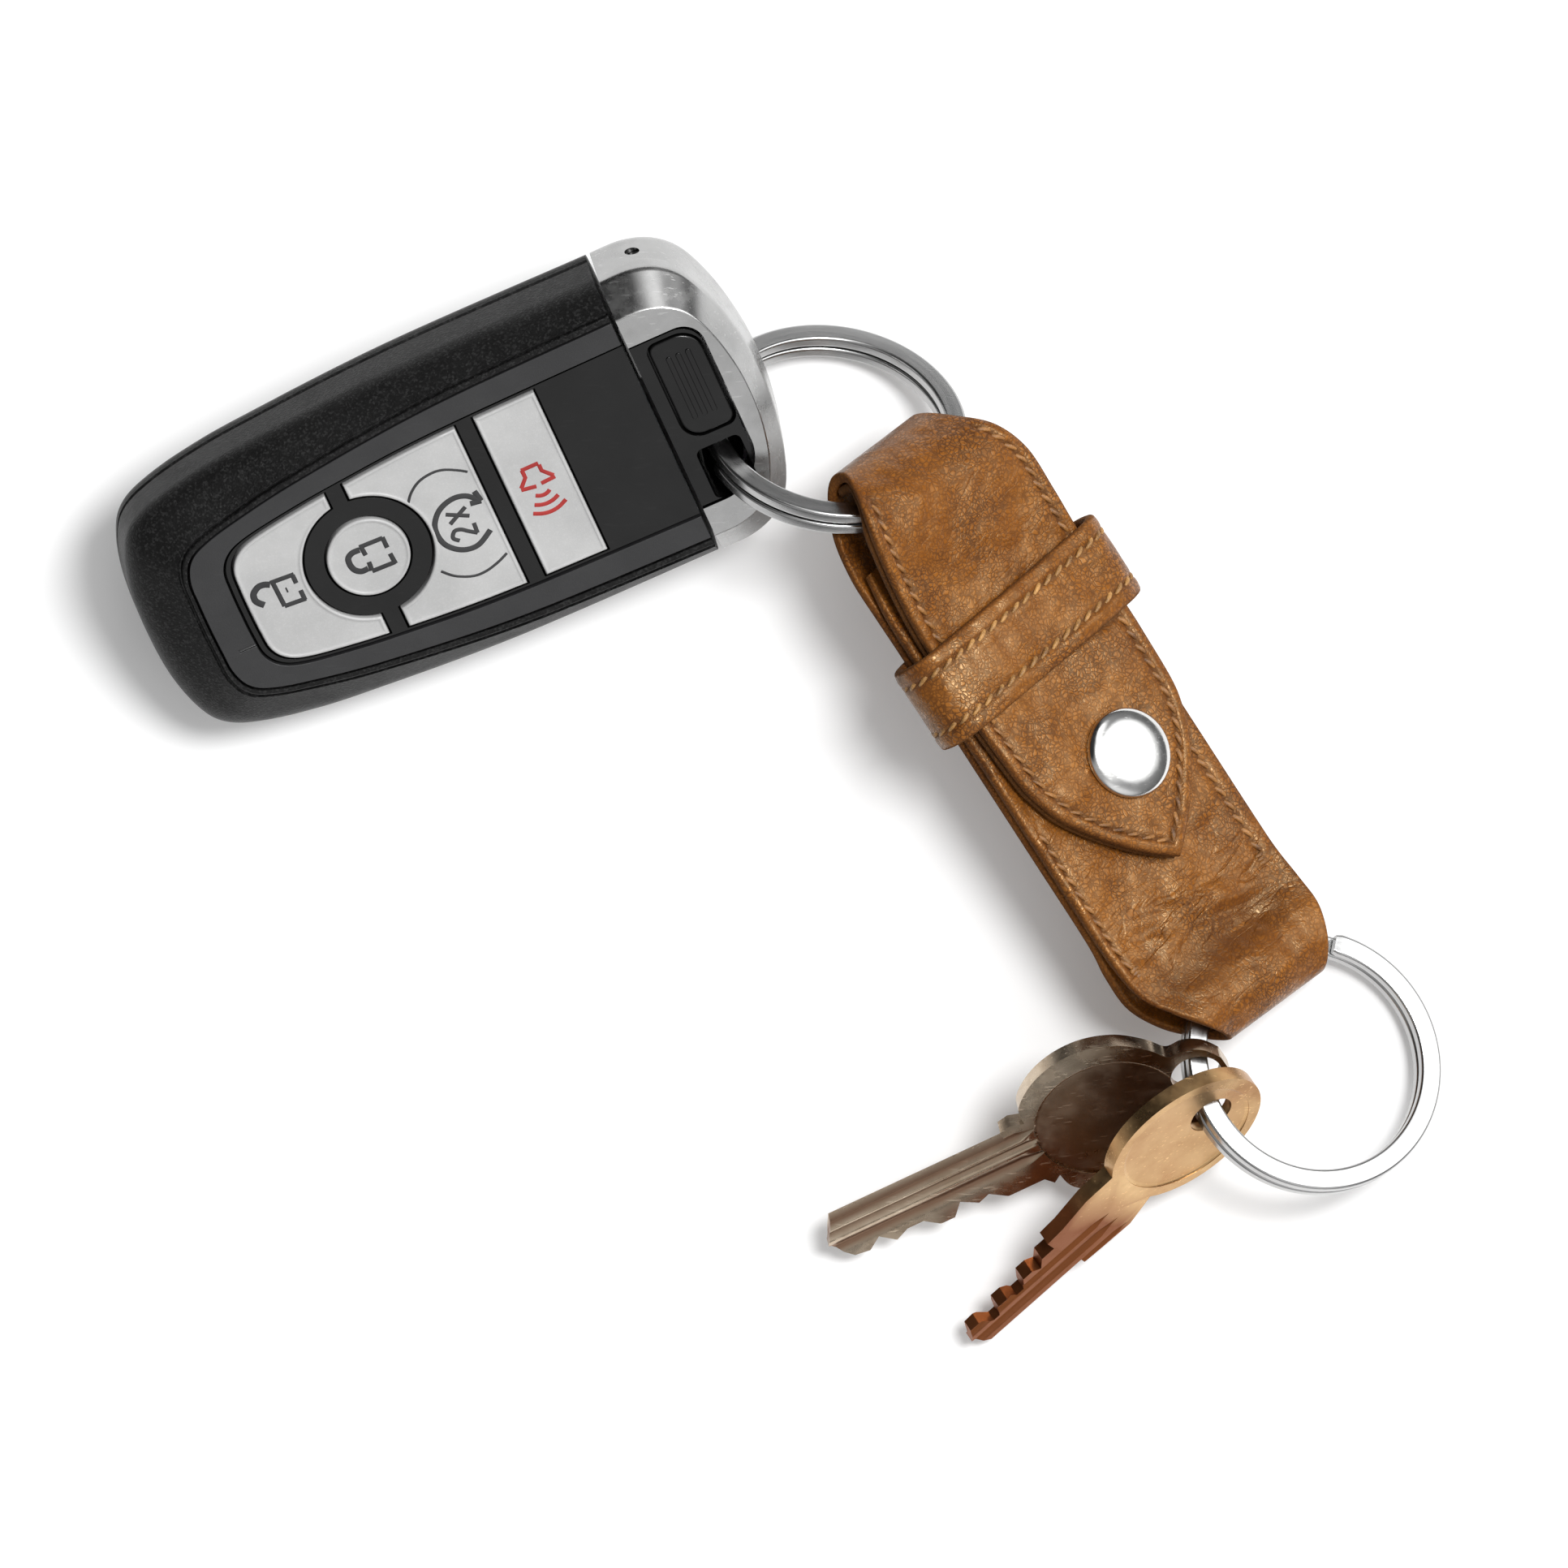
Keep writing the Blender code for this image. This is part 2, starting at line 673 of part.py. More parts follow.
def make_face(home):
    """Face bezel, button frame and the four buttons."""
    low = FACE_Z - PANEL_THICKNESS
    panel = body_outline(PANEL_TAIL_X, BODY_END_X, PANEL_HALF_WIDTH - GAP, PANEL_SHARES)
    bezel = prism("face_bezel", panel, low, FACE_Z, "satin_black", home)
    window = body_outline(FIELD_TAIL_X - GAP, BODY_END_X + OVERRUN, FIELD_HALF_WIDTH, FIELD_SHARES)
    cut(bezel, prism("field_window", window, 0, FACE_Z + OVERRUN, None, home))
    plate = body_outline(FIELD_TAIL_X, BODY_END_X, FIELD_HALF_WIDTH - GAP, FIELD_SHARES)
    button_frame = prism("button_frame", plate, low, FACE_Z - GAP, "gloss_black", home)
    outlines = {
        "unlock": unlock_outline,
        "lock": lock_outline,
        "start": start_outline,
        "alarm": alarm_outline,
    }
    button_low = MEMBRANE_TOP + BUTTON_TRAVEL + GAP
    for name, outline in outlines.items():
        window = outline(FRAME_RIM)
        cut(button_frame, prism(name + "_window", window, 0, FACE_Z + OVERRUN, None, home))
        cap = outline(FRAME_RIM + GAP)
        centre_x = (min(p[0] for p in cap) + max(p[0] for p in cap)) / 2
        prism(
            name + "_button",
            cap,
            button_low,
            FACE_Z + BUTTON_PROUD,
            "satin_silver",
            home,
            origin=(centre_x, 0, button_low),
        )


def make_electronics(home):
    """Membrane, switches, board, chip, antenna, cell and its contacts."""
    inner = body_outline(CAVITY_TAIL_X + GAP, CAVITY_END_X - GAP, CAVITY_HALF_WIDTH - GAP, PANEL_SHARES)
    membrane_low = MEMBRANE_TOP - MEMBRANE_THICKNESS
    prism("keypad_membrane", inner, membrane_low, MEMBRANE_TOP, "rubber_black", home)
    switches = {
        "unlock": (FIELD_TAIL_X + LOCK_X) / 2,
        "lock": LOCK_X,
        "start": (LOCK_X + LOCK_RING_RADIUS + START_END_X) / 2,
        "alarm": (ALARM_X + ALARM_END_X) / 2,
    }
    for name, x in switches.items():
        outline = circle((x, LOCK_Y), SWITCH_RADIUS, 20)
        low = SWITCH_TOP - SWITCH_HEIGHT
        prism("tact_switch_" + name, outline, low, SWITCH_TOP, "cell_steel", home)
    prism("circuit_board", inner, BOARD_LOW, BOARD_TOP, "board_green", home)
    below = BOARD_LOW - GAP
    half = CHIP_SIDE / 2
    block(
        "control_chip",
        (CHIP_X - half, CHIP_Y - half, below - CHIP_HEIGHT),
        (CHIP_X + half, CHIP_Y + half, below),
        "chip_black",
        home,
    )
    block(
        "antenna_coil",
        (ANTENNA_X - ANTENNA_LENGTH / 2, CHIP_Y - ANTENNA_WIDTH / 2, below - ANTENNA_HEIGHT),
        (ANTENNA_X + ANTENNA_LENGTH / 2, CHIP_Y + ANTENNA_WIDTH / 2, below),
        "coil_copper",
        home,
    )
    outline = circle((CELL_X, 0), CELL_RADIUS, 40)
    prism("coin_cell", outline, CELL_LOW, CELL_TOP, "cell_steel", home)
    half_length, half_width = CONTACT_LENGTH / 2, CONTACT_WIDTH / 2
    block(
        "cell_contact_bottom",
        (CELL_X - half_length, -half_width, FLOOR_WALL + GAP),
        (CELL_X + half_length, half_width, FLOOR_WALL + GAP + CONTACT_THICKNESS),
        "cell_steel",
        home,
    )
    plate_low = CELL_TOP + GAP
    profile = (
        (CELL_X - half_length, plate_low),
        (CELL_X + half_length, plate_low),
        (CELL_X + half_length, below),
        (CELL_X + half_length - CONTACT_THICKNESS, below),
        (CELL_X + half_length - CONTACT_THICKNESS, plate_low + CONTACT_THICKNESS),
        (CELL_X - half_length, plate_low + CONTACT_THICKNESS),
    )
    sides = [[(x, y, z) for x, z in profile] for y in (-half_width, half_width)]
    lofted("cell_contact_top", sides, "cell_steel", home)


def make_sleeve(home):
    """Channel in the body that guides the key blade."""
    half = BLADE_WIDTH / 2 + GAP
    height = BLADE_THICKNESS / 2 + GAP
    tip_x = SLEEVE_TIP_X + SLEEVE_WALL
    sleeve = block(
        "blade_sleeve",
        (SLEEVE_TIP_X, BLADE_Y - half - SLEEVE_WALL, BLADE_Z - height - SLEEVE_WALL),
        (CAVITY_END_X - GAP, BLADE_Y + half + SLEEVE_WALL, BLADE_Z + height + SLEEVE_WALL),
        "chip_black",
        home,
    )
    bore = block(
        "sleeve_bore",
        (tip_x, BLADE_Y - half, BLADE_Z - height),
        (CAVITY_END_X + OVERRUN, BLADE_Y + half, BLADE_Z + height),
        None,
        home,
    )
    cut(sleeve, bore)


def head_outline(z, end_inset, half_width):
    end_x = HEAD_END_X - end_inset
    upper = [(HEAD_X + (end_x - HEAD_X) * t, half_width * w) for t, w in HEAD_SHARES]
    lower = [(x, -y) for x, y in reversed(upper[:-1])]
    return raised(smooth_path(upper + lower, 3), z)


def core_outline(inset, start_x):
    end_x = HEAD_X + CORE_LENGTH - inset
    half, corner = CORE_HALF_WIDTH - inset, CORE_CORNER
    points = [(start_x, -half)]
    points += arc((end_x - 2 * corner, -half + 2 * corner), 2 * corner, -90, 0, 6)
    points += arc((end_x - corner, half - corner), corner, 0, 90, 5)
    return points + [(start_x, half)]


def make_head(home):
    """Metal head frame, its core, release button, key blade and pin, pulled out together."""
    loops = [head_outline(z, inset, half_width) for z, inset, half_width in rear_levels()]
    foot_half_width = BODY_HALF_WIDTH - SLOPE_FOOT_INSET
    loops += [
        head_outline(PARTING_HEIGHT, 0, BODY_HALF_WIDTH),
        head_outline(SLOPE_FOOT_Z, SLOPE_FOOT_INSET, foot_half_width),
        head_outline(FACE_Z, HEAD_RIM_INSET, PANEL_HALF_WIDTH - GAP),
    ]
    head = lofted("head_frame", loops, "brushed_steel", home, smooth=25)
    pocket = core_outline(0, HEAD_X - OVERRUN)
    cut(head, prism("core_pocket", pocket, -OVERRUN, FACE_Z + OVERRUN, None, home))
    core = prism(
        "head_core", core_outline(GAP, HEAD_X), GAP, FACE_Z - CORE_RECESS, "gloss_black", home
    )

    channel = []
    for height, x1, x2, y1, y2 in CHANNEL_SHARES:
        xs = [HEAD_X + HEAD_LENGTH * share for share in (x1, x2)]
        ys = [BODY_HALF_WIDTH * share for share in (y1, y2)]
        outline = rounded_box((xs[0], ys[0]), (xs[1], ys[1]), RING_BAND / 3, 2)
        channel.append(raised(outline, FACE_Z * height))
    channel = lofted("ring_channel", channel, None, home)
    cut(core, channel)
    cut(head, channel)

    low_x, low_y = RELEASE_X - RELEASE_WIDTH / 2, RELEASE_Y - RELEASE_LENGTH / 2
    high_x, high_y = RELEASE_X + RELEASE_WIDTH / 2, RELEASE_Y + RELEASE_LENGTH / 2
    button_top = FACE_Z - CORE_RECESS
    button_low = button_top - RELEASE_THICKNESS
    corner = CORE_CORNER / 2
    pocket = rounded_box((low_x - GAP, low_y - GAP), (high_x + GAP, high_y + GAP), corner)
    pocket_low = button_low - RELEASE_TRAVEL - GAP
    cut(core, prism("release_pocket", pocket, pocket_low, FACE_Z + OVERRUN, None, home))
    cap = rounded_box((low_x, low_y), (high_x, high_y), corner)
    release = prism(
        "release_button",
        cap,
        button_low,
        button_top,
        "gloss_black",
        home,
        origin=(RELEASE_X, RELEASE_Y, button_low),
    )
    for number in (-1, 0, 1):
        x = RELEASE_X + number * RELEASE_WIDTH / 5
        rib = block(
            f"release_rib_{number + 2}",
            (x - RIB_WIDTH / 2, low_y + corner, button_low + GAP),
            (x + RIB_WIDTH / 2, high_y - corner, button_top + RIB_HEIGHT),
            None,
            home,
        )
        add(release, rib)
    make_blade(home, core, head)


def make_blade(home, core, head):
    """Key blade held in the head's core by a cross pin."""
    half_width, half_thick = BLADE_WIDTH / 2, BLADE_THICKNESS / 2
    tip_x = HEAD_X - BLADE_LENGTH
    steps = 5
    edge = []
    for i in range(steps):
        x = tip_x + BLADE_LENGTH * (i + 1) / (steps + 3)
        depth = BLADE_CUT * (0.5 + 0.5 * (i % 2))
        run = BLADE_LENGTH / (steps + 3) / 4
        edge += [(x - run, -half_width), (x, depth - half_width), (x + run, -half_width)]
    outline = [(tip_x, 0), (tip_x + half_width / 2, -half_width)] + edge
    outline += [(HEAD_X + GAP, -half_width), (HEAD_X + GAP, half_width)]
    outline += [(tip_x + half_width / 2, half_width)]
    outline = [(x, y + BLADE_Y) for x, y in outline]
    blade = prism(
        "emergency_blade",
        outline,
        BLADE_Z - half_thick,
        BLADE_Z + half_thick,
        "brushed_steel",
        home,
    )
    half_root = ROOT_THICKNESS / 2
    low = (HEAD_X + GAP / 2, BLADE_Y - half_width, BLADE_Z - half_root)
    high = (HEAD_X + ROOT_LENGTH, BLADE_Y + half_width, BLADE_Z + half_root)
    add(blade, block("blade_root", low, high, None, home))
    room_low = (HEAD_X - OVERRUN, low[1] - GAP, low[2] - GAP)
    room_high = (high[0] + GAP, high[1] + GAP, high[2] + GAP)
    cut(core, block("root_pocket", room_low, room_high, None, home))

    reach = PIN_REACH
    inner_y = BLADE_Y + half_width - reach
    outer_y = half_width_at_head(PIN_X) - PIN_RECESS

    def rod(name, radius, start_y, end_y, finish):
        rings = [
            [(x, y, z) for x, z in circle((PIN_X, BLADE_Z), radius, 16)] for y in (start_y, end_y)
        ]
        return lofted(name, rings, finish, home)

    rod("blade_pin", PIN_RADIUS, inner_y, outer_y, "cell_steel")
    bore = rod("pin_bore", PIN_RADIUS + PIN_CLEARANCE, inner_y - GAP, BODY_HALF_WIDTH + OVERRUN, None)
    for target in (blade, core, head):
        cut(target, bore)


def half_width_at_head(x):
    outline = [(px, py) for px, py, _ in head_outline(0, 0, BODY_HALF_WIDTH)]
    for (x1, y1), (x2, y2) in zip(outline, outline[1:]):
        if x1 <= x <= x2:
            return y1 + (y2 - y1) * (x - x1) / (x2 - x1)
    return BODY_HALF_WIDTH


def ring_matrix(centre, tilt, low_side):
    """Frame of a ring: its X axis runs to its low side, its Z axis is the ring's own axis."""
    return (
        Matrix.Translation(centre)
        @ Matrix.Rotation(radians(low_side), 4, "Z")
        @ Matrix.Rotation(radians(tilt), 4, "Y")
    )


def ring_point(matrix, angle):
    """Middle of a ring's band at an angle from its low side, and the band's direction there."""
    turn = radians(angle)
    point = matrix @ Vector((RING_MID_RADIUS * cos(turn), RING_MID_RADIUS * sin(turn), 0))
    tangent = matrix.to_3x3() @ Vector((-sin(turn), cos(turn), 0))
    return point, tangent


def split_ring(name, joint_angle, finish, parent, matrix):
    """Flat wire wound twice, with the step between the turns at the joint angle."""
    flat_x, flat_z = RING_BAND / 2 - RING_CHAMFER, RING_WIRE / 2 - RING_CHAMFER
    full_x, full_z = RING_BAND / 2, RING_WIRE / 2
    profile = [
        (full_x, flat_z),
        (flat_x, full_z),
        (-flat_x, full_z),
        (-full_x, flat_z),
        (-full_x, -flat_z),
        (-flat_x, -full_z),
        (flat_x, -full_z),
        (full_x, -flat_z),
    ]
    start = RING_RAMP_HALF + RING_END_GAP
    end = 720 - start
    count = round((end - start) / RING_STEP)
    loops = []
    for i in range(count + 1):
        angle = start + (end - start) * i / count
        share = min(max((angle - 360) / RING_RAMP_HALF, -1), 1)
        rise = RING_PITCH / 2 * sin(share * pi / 2)
        turn = radians(angle + joint_angle)
        loops.append(
            [
                ((RING_MID_RADIUS + x) * cos(turn), (RING_MID_RADIUS + x) * sin(turn), z + rise)
                for x, z in profile
            ]
        )
    ring = lofted(name, loops, finish, parent)
    ring.matrix_world = matrix
    return ring


def strip(shares, offset, thickness):
    """Cross loops of a leather strip that follows a path in u and w, offset to its outer side."""
    rows = smooth_path(shares, 3)
    columns = 6
    loops = []
    for i, row in enumerate(rows):
        before, after = rows[max(i - 1, 0)], rows[min(i + 1, len(rows) - 1)]
        du = (after[0] - before[0]) * STRAP_HALF_LENGTH
        dw = (after[1] - before[1]) * LEATHER
        size = hypot(du, dw)
        out_u, out_w = -dw / size, du / size
        u, w, twist = row[0] * STRAP_HALF_LENGTH, row[1] * LEATHER, row[2]
        sides = []
        for side in (1, -1):
            reach = offset + side * thickness / 2
            line = []
            for j in range(columns + 1):
                v = (row[3] + (row[4] - row[3]) * j / columns) * STRAP_HALF_WIDTH
                line.append((u + reach * out_u, v, w + reach * out_w + twist * v))
            sides.append(line)
        loops.append(sides[0] + sides[1][::-1])
    return loops


def make_strap(home):
    """Strap folded round both rings, and the lining under its flap."""
    leaves = FRONT_LEAF_SHARES + LOWER_FOLD_SHARES + BACK_LEAF_SHARES
    path = leaves + UPPER_FOLD_SHARES + FLAP_SHARES
    strap = lofted("strap_leather", strip(path, 0, LEATHER), "tan_leather", home, smooth=40)
    offset = -LEATHER / 2 - GAP - LINING / 2
    lined = UPPER_FOLD_SHARES + FLAP_SHARES
    lofted("flap_lining", strip(lined, offset, LINING), "leather_lining", home, smooth=40)
    head_low = -LEATHER * 1.12 - POST_HEAD
    post_bore = prism(
        "post_bore",
        circle((SNAP_U, SNAP_V), SNAP_SHANK_RADIUS + GAP, 16),
        head_low - OVERRUN,
        LEATHER * 1.12 + OVERRUN,
        None,
        home,
    )
    cut(strap, post_bore)
    return strap


def tip_outline(inset):
    """Flap tip's outline from the hinge line to its point."""
    start_u = FLAP_HINGE_U + GAP
    length = FLAP_TIP_U - start_u
    rows = smooth_path(TIP_SHARES, 3)
    right = [
        (start_u + length * t, FLAP_TIP_V * t + (FLAP_HALF_WIDTH - inset) * w) for t, w in rows
    ]
    left = [
        (start_u + length * t, FLAP_TIP_V * t - (FLAP_HALF_WIDTH - inset) * w) for t, w in rows
    ]
    return right[:-1] + left[::-1]


def turned_piece(name, profile, centre, finish, parent, origin, count=32):
    """Round piece from a radius and height profile, closed on its axis."""
    loops = [
        [(centre[0] + x, centre[1] + y, z) for x, y in circle((0, 0), radius, count)]
        for radius, z in profile
    ]
    return lofted(name, loops, finish, parent, origin=origin)


def make_flap_tip(home):
    """Hinged end of the flap in two plies, with the snap's cap and socket."""
    hinge = (FLAP_HINGE_U, 0, FLAP_TOP)
    outer_low = FLAP_TOP - LEATHER
    lining_top = outer_low - GAP
    lining_low = lining_top - LINING
    centre = (SNAP_U, SNAP_V)
    outer = prism(
        "flap_tip_leather", tip_outline(0), outer_low, FLAP_TOP, "tan_leather", home, origin=hinge
    )
    inner = prism(
        "flap_tip_lining", tip_outline(0), lining_low, lining_top, "leather_lining", home, origin=hinge
    )
    shank_bore = circle(centre, SNAP_SHANK_RADIUS + GAP, 16)
    cut(outer, prism("cap_bore", shank_bore, outer_low - OVERRUN, FLAP_TOP + OVERRUN, None, home))
    socket_room = circle(centre, SOCKET_RADIUS + GAP, 32)
    cut(
        inner,
        prism("socket_room", socket_room, lining_low - OVERRUN, lining_top + OVERRUN, None, home),
    )
    foot = FLAP_TOP + GAP
    rim = SNAP_RADIUS
    profile = [
        (SNAP_SHANK_RADIUS, outer_low),
        (SNAP_SHANK_RADIUS, foot),
        (rim - GAP, foot),
        (rim, foot + SNAP_DOME / 4),
        (rim * 0.97, foot + SNAP_DOME / 2),
        (rim * 0.86, foot + SNAP_DOME * 0.72),
        (rim * 0.62, foot + SNAP_DOME * 0.9),
        (rim * 0.3, foot + SNAP_DOME),
    ]
    turned_piece("snap_cap", profile, centre, "snap_nickel", home, hinge)
    socket_low = lining_top - SOCKET_THICKNESS
    mesh = bmesh.new()
    bore = STUD_KNOB_RADIUS + GAP
    rings = (
        (SOCKET_RADIUS, socket_low),
        (SOCKET_RADIUS, lining_top),
        (bore, lining_top),
        (bore, socket_low),
    )
    loops = [
        [(centre[0] + x, centre[1] + y, z) for x, y in circle((0, 0), radius, 32)]
        for radius, z in rings
    ]
    skin(mesh, loops, closed=True)
    placed("snap_socket", mesh, "snap_nickel", home, origin=hinge)
    return socket_low


def make_stud(home, strap, socket_low):
    """Snap stud on the front leaf, with its post through both leaves."""
    centre = (SNAP_U, SNAP_V)
    leaf_top = LEATHER * (FRONT_LEAF_SHARES[4][1] + 0.5)
    base_top = socket_low - GAP
    base_low = base_top - STUD_BASE
    room = circle(centre, SOCKET_RADIUS + GAP, 32)
    cut(strap, prism("stud_room", room, base_low - GAP, leaf_top + OVERRUN, None, home))
    profile = [
        (SOCKET_RADIUS, base_low),
        (SOCKET_RADIUS, base_top),
        (STUD_KNOB_RADIUS, base_top),
        (STUD_KNOB_RADIUS, base_top + STUD_KNOB_HEIGHT * 0.8),
        (STUD_KNOB_RADIUS * 0.8, base_top + STUD_KNOB_HEIGHT),
    ]
    turned_piece("snap_stud", profile, centre, "snap_nickel", home, (0, 0, 0))
    back_low = LEATHER * (BACK_LEAF_SHARES[4][1] - 0.5)
    head_top = back_low + POST_HEAD
    room = circle(centre, POST_HEAD_RADIUS + GAP, 32)
    cut(strap, prism("post_room", room, back_low - OVERRUN, head_top + GAP, None, home))
    profile = [
        (POST_HEAD_RADIUS, back_low),
        (POST_HEAD_RADIUS, head_top),
        (SNAP_SHANK_RADIUS, head_top),
        (SNAP_SHANK_RADIUS, base_low - GAP),
    ]
    turned_piece("snap_post", profile, centre, "snap_nickel", home, (0, 0, 0))


def make_keeper(home):
    """Keeper loop round strap and flap."""
    low_w = LEATHER * (BACK_LEAF_SHARES[5][1] - 0.5) - GAP
    high_w = FLAP_TOP + GAP
    outer, inner = KEEPER_HALF_WIDTH, KEEPER_HALF_WIDTH - KEEPER_THICKNESS
    thick = KEEPER_THICKNESS
    outside = rounded_box((-outer, low_w - thick), (outer, high_w + thick), KEEPER_CORNER)
    inside = rounded_box((-inner, low_w), (inner, high_w), KEEPER_CORNER - thick)
    slope = sin(radians(KEEPER_SKEW))
    ends = (KEEPER_U - KEEPER_WIDTH / 2, KEEPER_U + KEEPER_WIDTH / 2)
    order = ((outside, ends[0]), (outside, ends[1]), (inside, ends[1]), (inside, ends[0]))
    mesh = bmesh.new()
    skin(mesh, [[(u - slope * v, v, w) for v, w in loop] for loop, u in order], closed=True)
    placed("keeper_loop", mesh, "tan_leather", home, origin=(KEEPER_U, 0, 0))


def key_outline(points, length, blade, hole_at):
    """Outline measured from the hole's centre."""
    return [(length * (x - hole_at[0]), blade * (y - hole_at[1])) for x, y in points]


def make_key(name, points, length, blade, hole, hole_radius, bow, grooves, finish, home):
    """Cut key with its hole at the origin: a ring hole, a recessed bow and blade grooves."""
    low, high = -KEY_THICKNESS / 2, KEY_THICKNESS / 2
    key = prism(name, key_outline(points, length, blade, hole), low, high, finish, home)
    bore = circle((0, 0), hole_radius, 28)
    cut(key, prism(name + "_bore", bore, low - OVERRUN, high + OVERRUN, None, home))
    (bow_x, bow_y), bow_radius = key_outline([bow[:2]], length, blade, hole)[0], bow[2] * length
    faces = (
        ("front", high - KEY_RECESS, high + OVERRUN),
        ("back", low - OVERRUN, low + KEY_RECESS),
    )
    for side, near, far in faces:
        dish = circle((bow_x, bow_y), bow_radius, 32)
        cut(key, prism(f"{name}_{side}_dish", dish, near, far, None, home))
    start, end = -length * hole[0] - OVERRUN, -length * (hole[0] - grooves[0])
    for number, (share, side) in enumerate(grooves[1]):
        y = blade * (share - hole[1])
        near = high - GROOVE_DEPTH if side > 0 else low - OVERRUN
        far = high + OVERRUN if side > 0 else low + GROOVE_DEPTH
        groove_low = (start, y - GROOVE_WIDTH / 2, near)
        groove_high = (end, y + GROOVE_WIDTH / 2, far)
        cut(key, block(f"{name}_groove_{number + 1}", groove_low, groove_high, None, home))
    return key


def make_nickel_key(home):
    top = list(NICKEL_TOP_SHARES)
    bow = [(x, -y) for x, y in reversed(top) if x > 0.53]
    points = top + bow + [point for point in reversed(NICKEL_BITTING_SHARES)]
    grooves = (0.52, ((-0.05, 1), (0.2, -1)))
    make_key(
        "nickel_key",
        points,
        NICKEL_LENGTH,
        NICKEL_BLADE,
        KEY_HOLE_SHARES["nickel"],
        NICKEL_HOLE_RADIUS,
        (0.705, 0.0, 0.135),
        grooves,
        "key_nickel",
        home,
    )


def make_brass_key(home):
    x, y, half_length, half_height = BRASS_BOW_SHARES
    start = 150
    turn = [start - 2 * start * i / 28 for i in range(29)]
    bow = [(x + half_length * cos(radians(a)), y + half_height * sin(radians(a))) for a in turn]
    points = list(BRASS_BITTING_SHARES) + bow + list(BRASS_FOOT_SHARES)
    grooves = (0.50, ((-0.12, 1), (0.16, 1), (0.0, -1)))
    make_key(
        "brass_key",
        points,
        BRASS_LENGTH,
        BRASS_BLADE,
        KEY_HOLE_SHARES["brass"],
        BRASS_HOLE_RADIUS,
        (0.76, y, 0.13),
        grooves,
        "key_brass",
        home,
    )


def main():
    for obj in list(bpy.data.objects):
        bpy.data.objects.remove(obj)

    turn = turned(REMOTE_HEADING, 0, REMOTE_ROLL) @ turned(0, REMOTE_PITCH, 0)
    face_down = Matrix.Translation((0, 0, -FACE_Z))
    remote = frame("remote_frame", Matrix.Translation(REMOTE_AT) @ turn @ face_down)
    make_shells(remote)
    make_face(remote)
    make_electronics(remote)
    make_sleeve(remote)
    head = frame("head_slide_frame", remote.matrix_world, remote)
    make_head(head)

    upper_ring = ring_matrix(UPPER_RING_AT, UPPER_RING_TILT, UPPER_RING_LOW_SIDE)
    point, tangent = ring_point(upper_ring, HEAD_ON_RING)
    pivot = frame("upper_ring_pivot", axis_at(point, tangent), head)
    split_ring("upper_split_ring", UPPER_RING_JOINT, "brushed_steel", pivot, upper_ring)

    strap_turn = turned(STRAP_HEADING, STRAP_PITCH, STRAP_ROLL)
    strap_place = Matrix.Translation(STRAP_AT) @ strap_turn
    pivot = frame("fob_pivot", upper_ring, pivot)
    fob = frame("fob_frame", strap_place, pivot)
    strap = make_strap(fob)
    socket_low = make_flap_tip(fob)
    make_stud(fob, strap, socket_low)
    make_keeper(fob)

    lower_ring = ring_matrix(LOWER_RING_AT, LOWER_RING_TILT, LOWER_RING_LOW_SIDE)
    pivot = frame("lower_ring_pivot", lower_ring, fob)
    joint = LOWER_RING_JOINT - LOWER_RING_LOW_SIDE
    split_ring("lower_split_ring", joint, "brushed_steel", pivot, lower_ring)

    keys = (
        (make_nickel_key, NICKEL_ON_RING, turned(NICKEL_HEADING, NICKEL_PITCH, NICKEL_ROLL)),
        (make_brass_key, BRASS_ON_RING, turned(BRASS_HEADING, BRASS_PITCH, BRASS_ROLL)),
    )
    for make, angle, key_turn in keys:
        point, _ = ring_point(lower_ring, angle)
        home = frame(make.__name__[5:] + "_frame", Matrix.Translation(point) @ key_turn, pivot)
        make(home)


main()
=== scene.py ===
"""Looks of the key fob set: car remote, leather snap fob, two split rings and two cut keys.

Metres, +Z up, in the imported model's frame. Each assembly is built in its own flat frame and
carried to where it lies by a matrix, so that every finished mesh holds its place in itself.
"""

from math import atan2, cos, exp, hypot, pi, radians, sin, sqrt

import bmesh
import bpy
from mathutils import Matrix, Vector, noise


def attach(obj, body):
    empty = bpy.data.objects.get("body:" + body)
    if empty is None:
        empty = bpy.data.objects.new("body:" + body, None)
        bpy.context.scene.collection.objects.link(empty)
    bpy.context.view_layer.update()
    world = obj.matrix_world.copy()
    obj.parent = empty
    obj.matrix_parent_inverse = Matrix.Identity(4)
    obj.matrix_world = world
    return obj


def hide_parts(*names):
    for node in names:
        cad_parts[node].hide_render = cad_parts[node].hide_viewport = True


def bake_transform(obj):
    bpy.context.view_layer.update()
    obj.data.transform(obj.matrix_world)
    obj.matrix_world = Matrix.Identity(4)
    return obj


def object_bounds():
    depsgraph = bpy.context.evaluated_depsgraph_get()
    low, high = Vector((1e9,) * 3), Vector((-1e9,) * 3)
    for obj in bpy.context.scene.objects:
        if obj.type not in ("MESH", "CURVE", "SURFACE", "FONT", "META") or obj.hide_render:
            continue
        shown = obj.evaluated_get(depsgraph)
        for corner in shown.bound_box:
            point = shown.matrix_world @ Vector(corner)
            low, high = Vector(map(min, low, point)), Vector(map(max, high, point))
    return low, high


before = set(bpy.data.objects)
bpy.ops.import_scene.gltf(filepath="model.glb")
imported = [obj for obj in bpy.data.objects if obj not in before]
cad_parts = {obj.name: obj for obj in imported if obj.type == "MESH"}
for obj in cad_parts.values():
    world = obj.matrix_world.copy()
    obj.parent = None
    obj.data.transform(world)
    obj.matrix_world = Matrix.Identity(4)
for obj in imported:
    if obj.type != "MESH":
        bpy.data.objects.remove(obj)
CAD_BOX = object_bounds()

